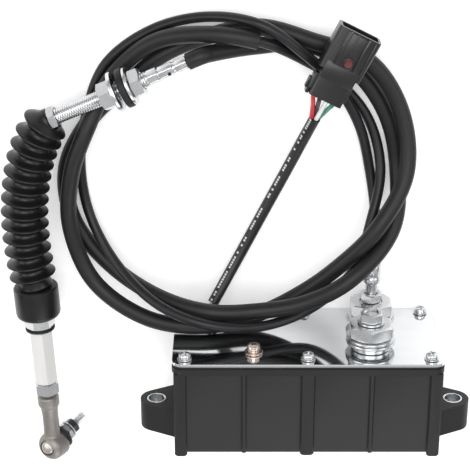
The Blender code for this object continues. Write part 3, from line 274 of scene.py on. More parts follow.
def cord_tree(name, finish):
    """Geometry Nodes: sweep a round section along a line and keep how far along and round it each point lies."""
    tree = bpy.data.node_groups.new(name, "GeometryNodeTree")
    tree.interface.new_socket("Geometry", in_out="INPUT", socket_type="NodeSocketGeometry")
    for label, kind in (("Radius", "NodeSocketFloat"), ("Sides", "NodeSocketInt")):
        tree.interface.new_socket(label, in_out="INPUT", socket_type=kind)
    tree.interface.new_socket("Geometry", in_out="OUTPUT", socket_type="NodeSocketGeometry")
    new, link = tree.nodes.new, tree.links.new
    given, out = new("NodeGroupInput"), new("NodeGroupOutput")
    along, around = new("GeometryNodeStoreNamedAttribute"), new("GeometryNodeStoreNamedAttribute")
    for keep, label, reading in ((along, "along", "Length"), (around, "around", "Factor")):
        measure = new("GeometryNodeSplineParameter")
        keep.data_type, keep.domain = "FLOAT", "POINT"
        keep.inputs["Name"].default_value = label
        link(measure.outputs[reading], keep.inputs["Value"])
    ring = new("GeometryNodeCurvePrimitiveCircle")
    link(given.outputs["Radius"], ring.inputs["Radius"])
    link(given.outputs["Sides"], ring.inputs["Resolution"])
    link(given.outputs["Geometry"], along.inputs["Geometry"])
    link(ring.outputs["Curve"], around.inputs["Geometry"])
    sweep = new("GeometryNodeCurveToMesh")
    sweep.inputs["Fill Caps"].default_value = True
    link(along.outputs["Geometry"], sweep.inputs["Curve"])
    link(around.outputs["Geometry"], sweep.inputs["Profile Curve"])
    smooth, real = new("GeometryNodeSetShadeSmooth"), new("GeometryNodeRealizeInstances")
    paint = new("GeometryNodeSetMaterial")
    paint.inputs["Material"].default_value = finish.material
    link(sweep.outputs["Mesh"], smooth.inputs["Geometry"])
    link(smooth.outputs["Geometry"], real.inputs["Geometry"])
    link(real.outputs["Geometry"], paint.inputs["Geometry"])
    link(paint.outputs["Geometry"], out.inputs["Geometry"])
    return tree


def plain_mesh(item, tree, **inputs):
    """Run a tree on an object, keep the result as a plain mesh and drop the modifier."""
    step = item.modifiers.new("shape", "NODES")
    step.node_group = tree
    for socket in tree.interface.items_tree:
        if socket.in_out == "INPUT" and socket.name in inputs:
            step[socket.identifier] = inputs[socket.name]
    graph = bpy.context.evaluated_depsgraph_get()
    mesh = bpy.data.meshes.new_from_object(item.evaluated_get(graph))
    made = bpy.data.objects.new(item.name.replace("_line", ""), mesh)
    bpy.context.collection.objects.link(made)
    bpy.data.objects.remove(item, do_unlink=True)
    return made


def cord_mesh(name, line, diameter, finish, sides=24):
    """A cord's mesh along its line."""
    curve = bpy.data.curves.new(name + "_line", "CURVE")
    curve.dimensions = "3D"
    spline = curve.splines.new("POLY")
    spline.points.add(len(line) - 1)
    for slot, point in zip(spline.points, line):
        slot.co = (*point, 1.0)
    item = bpy.data.objects.new(name + "_line", curve)
    bpy.context.collection.objects.link(item)
    return plain_mesh(item, cord_tree(name + "_sweep", finish), Radius=diameter / 2, Sides=sides)


def coil_points(rows, first):
    """Route points round the coil, one every twenty degrees."""
    points = []
    for i, (radius, height) in enumerate(rows):
        bearing = math.radians(first + 20.0 * i)
        x, y = coil_centre[0] + radius * math.cos(bearing), coil_centre[1] + radius * math.sin(bearing) + PLATE
        points.append(Vector((x, y, height)))
    return points


def finish_piece(item, slot, body, *replaced):
    """Attach a piece to the body it rides on and hide the solids it stands for; the slot is not used."""
    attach(item, body)
    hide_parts(*replaced)


outlet_x, outlet_z = REAR_OUTLET
cable_exit = Vector((outlet_x, 0.0433 + PLATE, outlet_z))
route = [Vector((outlet_x, 0.0463 + PLATE, outlet_z)), Vector((outlet_x, 0.054 + PLATE, 0.0208))]
route += coil_points(bare_rows, -20.0) + coil_points(sleeved_rows, 440.0)
route += [hub_start - hub_axis * 0.009, hub_start]
whole = smooth_route(route)
join = 12 * (2 + len(bare_rows))
onward = (whole[join + 1] - whole[join - 1]).normalized()
bare_line = [cable_exit] + whole[:join + 1]
sleeve_line = [whole[join] + onward * 0.0003] + whole[join + 1:]

jacket = Finish("cable_jacket", metallic=0.0, specular_ior_level=0.30)
streak = jacket.noise(260.0, 4.0, 0.6)
jacket.vary(
    streak, (0.005, 0.005, 0.006), (0.012, 0.012, 0.014), 0.16, 0.30,
    bump=jacket.noise(900.0, 2.0), strength=0.12, depth=0.0001,
)
cable_bare = cord_mesh("bare_conduit", bare_line, BARE, jacket)
finish_piece(cable_bare, "cable_jacket", "actuator", "cable_bare")
sleeve_skin = Finish("cable_sleeve", metallic=0.0, specular_ior_level=0.28)
crease = sleeve_skin.noise(180.0, 5.0, 0.6)
sleeve_skin.vary(
    crease, (0.006, 0.006, 0.006), (0.014, 0.014, 0.015), 0.18, 0.36,
    bump=sleeve_skin.noise(600.0, 3.0), strength=0.18, depth=0.00015,
)
cable_sleeve = cord_mesh("thick_sleeve", sleeve_line, SLEEVED, sleeve_skin)
finish_piece(cable_sleeve, "shrink_sleeve", "actuator", "cable_sleeve")
length_of(bare_line)

# ---------------------------------------------------------------- housing
# The motor box is one moulding in black glass-filled nylon: panels between ribs and corner posts, a rim band
# round its mouth and a bored lug at each end. It has soft moulded edges and a fine spark-eroded grain.

nylon = Finish("black_nylon", metallic=0.0, specular_ior_level=0.28)
grain = nylon.noise(1500.0, 2.0, 0.6)
shade = nylon.noise(34.0, 4.0, 0.5)
nylon.wear(
    colour=nylon.mix(shade, (0.007, 0.007, 0.008), (0.015, 0.015, 0.016)),
    roughness=shade * 0.14 + grain * 0.10 + 0.40,
    bump=grain + nylon.noise(420.0, 2.0) * 0.6, strength=0.22, depth=0.0002,
)


def merged_copy(node, name, finish):
    """Copy of a solid with its corners merged and its flat faces whole."""
    source = nodes[node]
    mesh = source.data.copy()
    mesh.transform(source.matrix_world)
    work = bmesh.new()
    work.from_mesh(mesh)
    bmesh.ops.remove_doubles(work, verts=work.verts, dist=0.000005)
    bmesh.ops.dissolve_limit(work, angle_limit=math.radians(1.0), verts=work.verts, edges=work.edges)
    work.to_mesh(mesh)
    work.free()
    mesh.materials.clear()
    mesh.materials.append(finish.material)
    mesh.shade_smooth()
    mesh.set_sharp_from_angle(angle=math.radians(35))
    item = bpy.data.objects.new(name, mesh)
    bpy.context.collection.objects.link(item)
    return item


def eased_copy(node, name, width, segments, finish):
    """Copy of a solid whose edges are rounded by a bevel."""
    item = merged_copy(node, name, finish)
    edge = item.modifiers.new("edges", "BEVEL")
    edge.width = width
    edge.segments = segments
    edge.limit_method = "ANGLE"
    edge.angle_limit = math.radians(30)
    edge.harden_normals = True
    return item


housing = eased_copy("housing", "moulded_box", 0.0005, 2, nylon)
finish_piece(housing, "black_plastic", "actuator", "housing")

# ---------------------------------------------------------------- lug bushes
# A cut steel tube is pressed into each lug so that the mounting bolt can't crush the plastic. Its ends
# are faced off, bright and lightly zinc plated.

zinc = Finish("zinc_plate", metallic=1.0)
haze = zinc.noise(120.0, 4.0, 0.6)
zinc.vary(
    haze, (0.54, 0.55, 0.56), (0.64, 0.65, 0.66), 0.10, 0.22,
    bump=zinc.noise(1400.0, 2.0), strength=0.04, depth=0.00005,
)


def placed(origin, axis, side):
    """Matrix with local Z along the axis and local X towards the side."""
    z = Vector(axis).normalized()
    x = Vector(side) - z * Vector(side).dot(z)
    x.normalize()
    turn = Matrix((x, z.cross(x), z)).transposed().to_4x4()
    return Matrix.Translation(Vector(origin)) @ turn


def lathe(name, place, profile, finish, sides=64, closed=True, sharp=30.0):
    """Revolve (radius, height) pairs about local Z; a radius or height may be a function of the angle."""
    work = bmesh.new()
    rings = []
    for radius, height in profile:
        ring = []
        for i in range(sides):
            angle = math.tau * i / sides
            r = radius(angle) if callable(radius) else radius
            h = height(angle) if callable(height) else height
            ring.append(work.verts.new(place @ Vector((r * math.cos(angle), r * math.sin(angle), h))))
        rings.append(ring)
    pairs = list(zip(rings, rings[1:]))
    if closed:
        pairs.append((rings[-1], rings[0]))
    else:
        work.faces.new(list(reversed(rings[0])))
        work.faces.new(rings[-1])
    for low, high in pairs:
        for i in range(sides):
            j = (i + 1) % sides
            work.faces.new((low[i], low[j], high[j], high[i]))
    bmesh.ops.recalc_face_normals(work, faces=work.faces)
    return made_object(name, work, finish, sharp)


def ring_profile(inner, outer, low, high, ease):
    """Section of a flat ring with eased corners."""
    return [
        (inner + ease, low), (outer - ease, low), (outer - ease * 0.3, low + ease * 0.3), (outer, low + ease),
        (outer, high - ease), (outer - ease * 0.3, high - ease * 0.3), (outer - ease, high),
        (inner + ease, high), (inner, high - ease), (inner, low + ease),
    ]


for side, word in ((-1, "left"), (1, "right")):
    bush = lathe(
        "bush_" + word, placed((side * 0.097, -0.053, 0.0395), (0, 1, 0), (1, 0, 0)),
        ring_profile(0.0050, 0.0064, 0.0, 0.019, 0.00035), zinc, 64,
    )
    finish_piece(bush, "zinc_steel", "actuator", "lug_bush_" + word)

# ---------------------------------------------------------------- gasket
# A die-cut rubber frame lies between rim and cover and shows as a thin dark line all round. It has no
# fastening of its own: the cover screws clamp it.

rubber = Finish("black_rubber", metallic=0.0, specular_ior_level=0.28)
bloom = rubber.noise(150.0, 4.0, 0.6)
rubber.vary(
    bloom, (0.005, 0.005, 0.005), (0.013, 0.013, 0.013), 0.18, 0.42,
    bump=rubber.noise(1100.0, 3.0), strength=0.2, depth=0.00012,
)


def repaint(node, finish):
    """Give a solid that stays its finished material."""
    mesh = nodes[node].data
    mesh.materials.clear()
    mesh.materials.append(finish.material)


repaint("gasket", rubber)

# ---------------------------------------------------------------- cover plate
# The cover is a stainless sheet polished to a mirror, with faint rolling marks along its length and
# eased edges. It reflects the coil and the table behind it.

mirror = Finish("mirror_steel", metallic=1.0)
rolled = mirror.noise(90.0, 3.0, 0.5, (0.12, 1.0, 1.0))
scratch = mirror.noise(700.0, 3.0, 0.7, (0.05, 1.0, 1.0))
mirror.wear(
    colour=mirror.mix(rolled, (0.64, 0.65, 0.66), (0.74, 0.75, 0.76)),
    roughness=rolled * 0.05 + scratch * 0.05 + 0.03, bump=mirror.noise(26.0, 2.0), strength=0.05, depth=0.0004,
)
cover = eased_copy("cover_plate", "polished_cover", 0.00025, 2, mirror)
finish_piece(cover, "polished_steel", "actuator", "cover_plate")

# ---------------------------------------------------------------- cover screws
# Six pan-head machine screws with captive washers clamp the cover at its rim, and a taller one with a
# brownish passivated face holds the gear bracket inside. Their cross recesses stand at whatever angle the
# driver left them.

SCREW_SEAT = PLATE + 0.0003         # under the heads' washers
screw_places = [(x, z) for z in (0.0075, 0.0715) for x in (-0.077, 0.0, 0.077)]
profile = [
    (0.0017, -0.0030), (0.0017, 0.0), (0.0044, 0.0), (0.0046, 0.0002), (0.0046, 0.0006), (0.0044, 0.0008),
    (0.0036, 0.0008), (0.0038, 0.0011), (0.0038, 0.0024), (0.0036, 0.0031), (0.0030, 0.0037), (0.0021, 0.0040),
    (0.0009, 0.0041),
]
master = lathe("screw_master", Matrix.Identity(4), profile, zinc, 48, closed=False)


def cut_cross(item, wide, middle):
    """Cut the cross recess into a screw head that stands on the origin."""
    for turn in (0.0, math.pi / 2):
        work = bmesh.new()
        bmesh.ops.create_cube(work, size=1.0)
        bmesh.ops.scale(work, vec=(wide, 0.0011, 0.0030), verts=work.verts)
        bmesh.ops.translate(work, vec=(0, 0, middle), verts=work.verts)
        bmesh.ops.rotate(work, cent=(0, 0, 0), matrix=Matrix.Rotation(turn, 3, "Z"), verts=work.verts)
        cutter = made_object("bit", work)
        cut = item.modifiers.new("recess", "BOOLEAN")
        cut.operation, cut.object, cut.solver = "DIFFERENCE", cutter, "EXACT"
        graph = bpy.context.evaluated_depsgraph_get()
        carved = bpy.data.meshes.new_from_object(item.evaluated_get(graph))
        item.modifiers.clear()
        item.data = carved
        bpy.data.objects.remove(cutter, do_unlink=True)


cut_cross(master, 0.0048, 0.0042)
warm_zinc = Finish("passivated_zinc", metallic=1.0)
tint = warm_zinc.noise(300.0, 4.0)
warm_zinc.vary(tint, (0.46, 0.38, 0.33), (0.66, 0.58, 0.52), 0.14, 0.20)
profile = [
    (0.0017, -0.0030), (0.0017, 0.0), (0.0057, 0.0), (0.0059, 0.0002), (0.0059, 0.0008), (0.0057, 0.0010),
    (0.0040, 0.0010), (0.0042, 0.0013), (0.0042, 0.0024), (0.0038, 0.0026), (0.0041, 0.0029), (0.0041, 0.0043),
    (0.0039, 0.0050), (0.0033, 0.0055), (0.0023, 0.0058), (0.0009, 0.0059),
]
bracket_screw = lathe("bracket_fixing", Matrix.Identity(4), profile, warm_zinc, 48, closed=False)
cut_cross(bracket_screw, 0.0052, 0.0060)
bracket_screw.data.transform(placed((-0.034, SCREW_SEAT, 0.063), (0, 1, 0), (0.8, 0, 0.6)))
bracket_screw.data.set_sharp_from_angle(angle=math.radians(30))
finish_piece(bracket_screw, "zinc_steel", "actuator", "bracket_screw")


def scatter_tree(name, piece, finish):
    """Geometry Nodes: stand a piece on every point, each turned by its own amount."""
    tree = bpy.data.node_groups.new(name, "GeometryNodeTree")
    tree.interface.new_socket("Geometry", in_out="INPUT", socket_type="NodeSocketGeometry")
    tree.interface.new_socket("Turn", in_out="INPUT", socket_type="NodeSocketFloat")
    tree.interface.new_socket("Geometry", in_out="OUTPUT", socket_type="NodeSocketGeometry")
    new, link = tree.nodes.new, tree.links.new
    given, out, info = new("NodeGroupInput"), new("NodeGroupOutput"), new("GeometryNodeObjectInfo")
    info.inputs["Object"].default_value = piece
    chance, angles = new("FunctionNodeRandomValue"), new("ShaderNodeCombineXYZ")
    chance.data_type = "FLOAT"
    chance.inputs[8].default_value = 7
    link(given.outputs["Turn"], chance.inputs[3])
    link(chance.outputs[1], angles.inputs["Z"])
    stand = new("GeometryNodeInstanceOnPoints")
    link(given.outputs["Geometry"], stand.inputs["Points"])
    link(info.outputs["Geometry"], stand.inputs["Instance"])
    link(angles.outputs["Vector"], stand.inputs["Rotation"])
    real, paint = new("GeometryNodeRealizeInstances"), new("GeometryNodeSetMaterial")
    paint.inputs["Material"].default_value = finish.material
    link(stand.outputs["Instances"], real.inputs["Geometry"])
    link(real.outputs["Geometry"], paint.inputs["Geometry"])
    link(paint.outputs["Geometry"], out.inputs["Geometry"])
    return tree


holes = bpy.data.meshes.new("screw_line")
holes.from_pydata([(x, -z, 0.0) for x, z in screw_places], [], [])
holes_item = bpy.data.objects.new("cover_screws_line", holes)
bpy.context.collection.objects.link(holes_item)
screws = plain_mesh(holes_item, scatter_tree("screw_scatter", master, zinc), Turn=math.pi)
bpy.data.objects.remove(master, do_unlink=True)
screws.data.transform(Matrix.Translation((0, SCREW_SEAT, 0)) @ Matrix.Rotation(-math.pi / 2, 4, "X"))
screws.data.set_sharp_from_angle(angle=math.radians(30))
finish_piece(
    screws, "zinc_steel", "actuator", "cover_screw_rear_left", "cover_screw_rear_mid", "cover_screw_rear_right",
    "cover_screw_front_left", "cover_screw_front_mid", "cover_screw_front_right",
)

# ---------------------------------------------------------------- mechanism
# Inside the sealed box a small motor drives a brass gear and rack that push the cable's core. None of it
# shows from outside, so its solids stay and only get their metals and plastics.

brass = Finish("cut_brass", metallic=1.0)
tarnish = brass.noise(200.0, 4.0)
brass.vary(tarnish, (0.62, 0.45, 0.18), (0.80, 0.63, 0.32), 0.2, 0.22)
board = Finish("lacquered_board", metallic=0.0)
weave = board.noise(500.0, 2.0)
board.vary(weave, (0.01, 0.12, 0.05), (0.03, 0.20, 0.09), 0.2, 0.35)
for node, finish in (
    ("rack", brass), ("output_gear", brass), ("motor_pinion", brass), ("gear_frame", zinc), ("motor", zinc),
    ("position_sensor", nylon), ("circuit_board", board),
):
    repaint(node, finish)

# ---------------------------------------------------------------- cable outlets
# Two threaded steel adapters stand through the cover. Each has a collar, two stacked washers and a large
# hexagon nut; the front one is closed by a flanged bolt and the rear one holds the cable's end fitting.


def six_sides(flats, limit=1.0):
    """Radius of a hexagon at an angle, with a corner at zero."""
    def radius(angle):
        return min(limit, flats / 2 / math.cos(math.radians(math.degrees(angle) % 60.0 - 30.0)))
    return radius


def hexagon_nut(name, place, flats, thick, bore, finish, chamfer=0.97, ends=(True, True)):
    """Hexagon nut whose corners are turned off to a cone at each end."""
    full = six_sides(flats)
    start = flats / 2 * chamfer
    rise = lambda angle: (full(angle) - start) * 0.55
    lip = min(0.0004, (start - bore / 2) * 0.3)
    profile = [(bore / 2 + lip, 0.0)]
    profile += [(start, 0.0), (full, rise)] if ends[0] else [(full, 0.0)]
    profile += [(full, lambda angle: thick - rise(angle)), (start, thick)] if ends[1] else [(full, thick)]
    profile += [(bore / 2 + lip, thick), (bore / 2, thick - lip), (bore / 2, lip)]
    return lathe(name, place, profile, finish, 96, sharp=18.0)


def thread_profile(radius, depth, pitch, start, end, steps=8):
    """Section of a screw thread: each radius follows the helix round the axis."""
    count = int((end - start) / pitch * steps)
    rows = []
    for i in range(count + 1):
        height = start + (end - start) * i / count
        fade = min(1.0, i / steps, (count - i) / steps)

        def groove(angle, height=height, fade=fade):
            phase = (height / pitch - angle / math.tau) % 1.0
            return radius - depth * fade * (0.5 - 0.5 * math.cos(math.tau * phase)) ** 0.8
        rows.append((groove, height))
    return rows


FRONT_OUTLET = (0.0400, 0.0544)


def outlet(spot, above):
    """Place on an outlet's axis, above the cover plate."""
    return placed((spot[0], PLATE + above, spot[1]), (0, 1, 0), (0, 0, 1))


steel = ("zinc_steel", "actuator")
for word, spot in (("plugged", FRONT_OUTLET), ("cable", REAR_OUTLET)):
    collar = [
        (0.0044, -0.008), (0.0064, -0.008), (0.0070, -0.0074), (0.0070, 0.0003), (0.0124, 0.0003),
        (0.01275, 0.0006), (0.01275, 0.0033), (0.0124, 0.0037), (0.0070, 0.0037),
    ]
    collar += thread_profile(0.0070, 0.00045, 0.0015, 0.0038, 0.0160)
    collar += [(0.0064, 0.0164), (0.0048, 0.0164), (0.0044, 0.0160)]
    finish_piece(lathe(word + "_outlet_tube", outlet(spot, 0.0), collar, zinc, 64), *steel, word + "_adapter")
    for level, height, radius in (("low", 0.0040, 0.0157), ("high", 0.0062, 0.0152)):
        section = ring_profile(0.0073, radius, 0.0, 0.0019, 0.00045)
        washer = lathe(word + "_washer_" + level, outlet(spot, height), section, zinc, 96)
        finish_piece(washer, *steel, word + {"low": "_lower_washer", "high": "_upper_washer"}[level])
    big = hexagon_nut(word + "_big_nut", outlet(spot, 0.0084), 0.026, 0.0084, 0.0146, zinc)
    finish_piece(big, *steel, word + "_nut")

section = ring_profile(0.0044, 0.0085, 0.0, 0.0013, 0.0003)
thin = lathe("plug_flange", outlet(FRONT_OUTLET, 0.0171), section, zinc, 72)
finish_piece(thin, "zinc_steel", "actuator", "plug_washer")
head = six_sides(0.013)
dish = [
    (0.0041, 0.0020), (0.0041, 0.0187), (head, 0.0187), (head, lambda a: 0.0241 - (head(a) - 0.0062) * 0.6),
    (0.0062, 0.0241), (0.0047, 0.0241), (0.0044, 0.0238), (0.0039, 0.0232), (0.0012, 0.0231),
]
plug = lathe("plug_head", outlet(FRONT_OUTLET, 0.0), dish, zinc, 96, closed=False, sharp=18.0)
finish_piece(plug, *steel, "plug_bolt")
lock = hexagon_nut("cable_lock", outlet(REAR_OUTLET, 0.0171), 0.013, 0.0054, 0.0084, zinc, 0.94)
finish_piece(lock, "zinc_steel", "actuator", "cable_lock_nut")
tube = [
    (0.0018, 0.0010), (0.0036, 0.0010), (0.0039, 0.0013), (0.0039, 0.0284), (0.0042, 0.0292), (0.0046, 0.0300),
    (0.0056, 0.0306), (0.0058, 0.0312), (0.0058, 0.0340), (0.0055, 0.0346), (0.0055, 0.0358), (0.0058, 0.0364),
    (0.0058, 0.0418), (0.0054, 0.0430), (0.0036, 0.0430), (0.0034, 0.0426), (0.0018, 0.0426),
]
finish_piece(lathe("cable_ferrule", outlet(REAR_OUTLET, 0.0), tube, zinc, 64), *steel, "cable_end_fitting")

# ---------------------------------------------------------------- mounting hub
# The cable's far end is crimped into a zinc-plated steel tube with a long metric thread. Two hexagon nuts
# clamp a bracket between a rubber-faced washer and a thick plain washer; a small nut stops the bellows.


HUB_NUT_BORE = 0.0106


def hub(along):
    """Place on the hub's axis, measured from the cable's end."""
    return placed(hub_start + hub_axis * along, hub_axis, (0.3, -0.7, 1.0))


hub_flats = six_sides(0.0088, 0.00484)
crimp_flats = six_sides(0.0078, 0.0043)
profile = [
    (0.0022, 0.0003), (0.0036, 0.0003), (crimp_flats, 0.0008), (crimp_flats, 0.0074), (0.0035, 0.0080),
    (0.0035, 0.0094), (crimp_flats, 0.0100), (crimp_flats, 0.0185), (0.0035, 0.0191), (0.0035, 0.0196),
    (hub_flats, 0.0199), (hub_flats, 0.0258), (0.0043, 0.0263), (0.0043, 0.0270),
]
profile += thread_profile(0.0050, 0.00055, 0.0015, 0.0271, 0.0948)
profile += [(0.0043, 0.0952), (0.0038, 0.0955), (0.0022, 0.0955)]
# Painted shade: a small black dot on the zinc crimp stands for the shade inside its pit.
pit_shade_at = hub_start + hub_axis * 0.0125 + Vector((0.0006, -0.0016, 0.0036))
pit_shade_dot = lathe(
    "crimp_pit", placed(pit_shade_at, (0.1, -0.35, 1.0), hub_axis), [(0.0011, 0.0), (0.0011, 0.0004), (0.0006, 0.0005)],
    rubber, 24, closed=False,
)
finish_piece(pit_shade_dot, *steel, "hub_fitting")
finish_piece(lathe("hub_tube", hub(0.0), profile, zinc, 72, sharp=40.0), *steel, "hub_fitting")
for name, start, flats, thick, chamfer, solid in (
    ("hub_nut_near_cable", 0.0300, 0.016, 0.0072, 0.97, "hub_nut_inner"),
    ("hub_nut_near_bellows", 0.0495, 0.016, 0.0084, 0.97, "hub_nut_outer"),
    ("bellows_stop_nut", 0.0875, 0.013, 0.0050, 0.95, "clamp_nut"),
):
    finish_piece(hexagon_nut(name, hub(start), flats, thick, HUB_NUT_BORE, zinc, chamfer), *steel, solid)
for name, start, radius, thick, ease, finish, slot, solid in (
    ("hub_washer_thin", 0.0375, 0.0120, 0.0016, 0.0003, zinc, "zinc_steel", "hub_thin_washer"),
    ("hub_washer_rubber", 0.0394, 0.0125, 0.0042, 0.0008, rubber, "black_rubber", "hub_rubber_washer"),
    ("hub_washer_thick", 0.0466, 0.01275, 0.0026, 0.0006, zinc, "zinc_steel", "hub_thick_washer"),
):
    washer = lathe(name, hub(start), ring_profile(HUB_NUT_BORE / 2, radius, 0.0, thick, ease), finish, 96)
    finish_piece(washer, slot, "actuator", solid)
length_of(sleeve_line)

# ---------------------------------------------------------------- bellows
# A rubber sleeve moulded in thin, sharp folds keeps dirt off the push rod. It is drawn over the hub's
# thread and bends down to the cup. The real one opens or closes a little as the rod slides; here it keeps
# one fixed shape.

FOLDS = 13
FIRST_FOLD = 0.0046
FOLD_STEP = 0.00884
ROOT = 0.0098
CREST = 0.0151
SIDES = 72
SAMPLES = 600
bellows_a = hub_start + hub_axis * 0.0929
bellows_b = bellows_a + hub_axis * 0.002
bellows_c = Vector((-0.1890, 0.1050 + PLATE, 0.0230))
bellows_d = Vector((-0.17475, 0.0280 + PLATE, 0.0220))


def bellows_line(t):
    """Point and direction on the sleeve's centre line."""
    a, b, c, d = bellows_a, bellows_b, bellows_c, bellows_d
    s = 1.0 - t
    point = a * s ** 3 + b * 3 * s * s * t + c * 3 * s * t * t + d * t ** 3
    slope = (b - a) * s * s + (c - b) * 2 * s * t + (d - c) * t * t
    return point, slope.normalized()


milestones = [0.0]
for k in range(SAMPLES):
    stretch = bellows_line((k + 1) / SAMPLES)[0] - bellows_line(k / SAMPLES)[0]
    milestones.append(milestones[-1] + stretch.length)


def bellows_at(distance):
    """Point and direction at a distance along the centre line."""
    k = 0
    while k < SAMPLES - 1 and milestones[k + 1] < distance:
        k += 1
    return bellows_line((k + (distance - milestones[k]) / (milestones[k + 1] - milestones[k])) / SAMPLES)


long = milestones[-1]
half_fold = ((-0.0042, 0.0), (-0.0027, 0.10), (-0.0017, 0.42), (-0.0008, 0.82), (-0.0002, 0.99))
fold_shape = half_fold + tuple((-off, level) for off, level in reversed(half_fold))
stations = [(0.0, 0.0056), (0.0, 0.0072), (0.0003, 0.0076), (0.0008, 0.0080)]
for fold in range(FOLDS):
    middle = FIRST_FOLD + FOLD_STEP * fold
    crest = CREST if fold else 0.0144
    for off, level in fold_shape:
        if fold or off > -0.0030:
            stations.append((middle + off, ROOT + (crest - ROOT) * level))
stations += [(long - 0.0008, 0.0112), (long, 0.0112), (long, 0.0092)]
stations += [(long * share / 12, 0.0083) for share in range(11, 1, -1)]
stations += [(0.012, 0.0080), (0.006, 0.0062), (0.003, 0.0056)]
work = bmesh.new()
rings = []
for distance, radius in stations:
    point, along = bellows_at(distance)
    across = along.cross(Vector((0, 0, 1))).normalized()
    up = across.cross(along)
    ring = []
    for i in range(SIDES):
        angle = math.tau * i / SIDES
        ring.append(work.verts.new(point + across * (radius * math.cos(angle)) + up * (radius * math.sin(angle))))
    rings.append(ring)
for low, high in zip(rings, rings[1:] + rings[:1]):
    for i in range(SIDES):
        j = (i + 1) % SIDES
        work.faces.new((low[i], low[j], high[j], high[i]))
bmesh.ops.recalc_face_normals(work, faces=work.faces)
fold_rubber = Finish("bellows_rubber", metallic=0.0, specular_ior_level=0.30)
dust = fold_rubber.noise(90.0, 5.0, 0.65)
fold_rubber.vary(
    dust, (0.003, 0.003, 0.003), (0.012, 0.012, 0.012), 0.18, 0.23,
    bump=fold_rubber.noise(500.0, 4.0), strength=0.18, depth=0.00018,
)
bellows = made_object("folded_sleeve", work, fold_rubber, 65)
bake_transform(bellows)
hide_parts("bellows")

# ---------------------------------------------------------------- push rod
# The cable's core wire pushes the rod inside the bellows, whose boot closes over it. A nut, a sealing ring,
# a long light hexagon coupling of drawn bar and a jam nut follow, all on one metric thread.

rod_heading = math.radians(-87.3)
rod_axis = Vector((math.cos(rod_heading), math.sin(rod_heading), 0.0))
rod_top = Vector((-0.17475, 0.0276 + PLATE, 0.0220))
BOOT_NUT_AT, SEAL_AT, BAR_AT, JAM_NUT_AT = 0.0221, 0.0296, 0.0319, 0.0710
ROD_NUT_BORE = 0.0086


def rod(along):
    """Place on the rod's axis, measured from the bellows' end."""
    return placed(rod_top + rod_axis * along, rod_axis, (0.25, 0, 1))


inner_wire = merged_copy("core_wire", "inner_wire", zinc)
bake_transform(inner_wire)
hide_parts("core_wire")
profile = [
    (0.0018, -0.0050), (0.0076, -0.0050), (0.0080, -0.0046), (0.0080, 0.0), (0.0118, 0.0), (0.0137, 0.0004),
    (0.0144, 0.0012), (0.0145, 0.0022), (0.0145, 0.0186), (0.0142, 0.0200), (0.0135, 0.0211), (0.0124, 0.0218),
    (0.0040, 0.0218), (0.0040, 0.0458),
    (0.0006, 0.0458), (0.0006, 0.0164), (0.0018, 0.0164),
]
boot = lathe("rubber_boot", rod(0.0), profile, fold_rubber, 72)
finish_piece(boot, "black_rubber", "rod", "bellows_cup")
boot_nut_place = placed(rod_top + rod_axis * BOOT_NUT_AT, rod_axis, (0.695, 0, 0.72))
boot_nut = hexagon_nut("boot_nut", boot_nut_place, 0.0173, 0.0072, ROD_NUT_BORE, zinc)
finish_piece(boot_nut, "zinc_steel", "rod", "cup_nut")
seal = lathe("sealing_ring", rod(SEAL_AT), ring_profile(ROD_NUT_BORE / 2, 0.00975, 0.0, 0.0020, 0.0007), rubber, 72)
finish_piece(seal, "black_rubber", "rod", "seal_ring")

satin = Finish("satin_bar", metallic=0.25)
drawn = satin.noise(240.0, 3.0, 0.6, (1.0, 0.06, 1.0))
satin.vary(
    drawn, (0.56, 0.555, 0.545), (0.70, 0.695, 0.685), 0.14, 0.42, bump=drawn, strength=0.08, depth=0.0001,
)
BAR = 0.0388
bar_flats = six_sides(0.014)
bar_rise = lambda angle: (bar_flats(angle) - 0.0069) * 0.6
profile = [
    (0.0046, 0.0), (0.0069, 0.0), (bar_flats, bar_rise), (bar_flats, lambda a: BAR - bar_rise(a)), (0.0069, BAR),
    (0.0046, BAR), (0.0043, BAR - 0.0003), (0.0043, 0.0003),
]
coupling = lathe("hexagon_coupling", rod(BAR_AT), profile, satin, 96, sharp=18.0)
finish_piece(coupling, "satin_steel", "rod", "hex_bar")
jam = hexagon_nut("rod_jam_nut", rod(JAM_NUT_AT), 0.0147, 0.0081, ROD_NUT_BORE, zinc)
finish_piece(jam, "zinc_steel", "rod", "jam_nut")

# ---------------------------------------------------------------- rod end
# The ball socket is a grey casting with a tapering neck, left as cast and blasted and screwed on by its own
# thread. A thin steel cap is pressed into its back, and a dark ring round the cap is painted shade in the gap
# between cap and socket.

cast = Finish("grey_casting", metallic=0.75)
sand = cast.noise(700.0, 5.0, 0.65)
stain = cast.noise(70.0, 4.0, 0.6)
cast.wear(
    colour=cast.mix(stain, (0.17, 0.155, 0.145), (0.33, 0.31, 0.29)),
    roughness=stain * 0.15 + sand * 0.15 + 0.34, bump=sand, strength=0.35, depth=0.0002,
)
socket = merged_copy("rod_end", "cast_rod_end", cast)
melt = socket.modifiers.new("casting", "REMESH")
melt.mode = "VOXEL"
melt.voxel_size = 0.0005
melt.use_smooth_shade = True
soften = socket.modifiers.new("soft_edges", "SMOOTH")
soften.factor = 0.5
soften.iterations = 14
of_socket = ("cast_steel", "rod", "rod_end")
finish_piece(socket, *of_socket)
shank = [(0.0030, 0.0788), (0.0040, 0.0788)]
shank += thread_profile(0.0042, 0.0005, 0.00125, 0.0789, 0.0820) + [(0.0030, 0.0821)]
finish_piece(lathe("rod_end_thread", rod(0.0), shank, zinc, 48, sharp=70.0), *of_socket)
cap_steel = Finish("pressed_cap", metallic=0.9)
film = cap_steel.noise(260.0, 4.0)
cap_steel.vary(film, (0.42, 0.38, 0.36), (0.60, 0.56, 0.53), 0.14, 0.28)
BALL_AT = 0.1203                    # along the rod
ball_centre = rod_top + rod_axis * BALL_AT
cap_axis = Vector((-0.40, 0.20, 0.895)).normalized()
cap_place = placed(ball_centre + cap_axis * 0.0078, cap_axis, rod_axis)
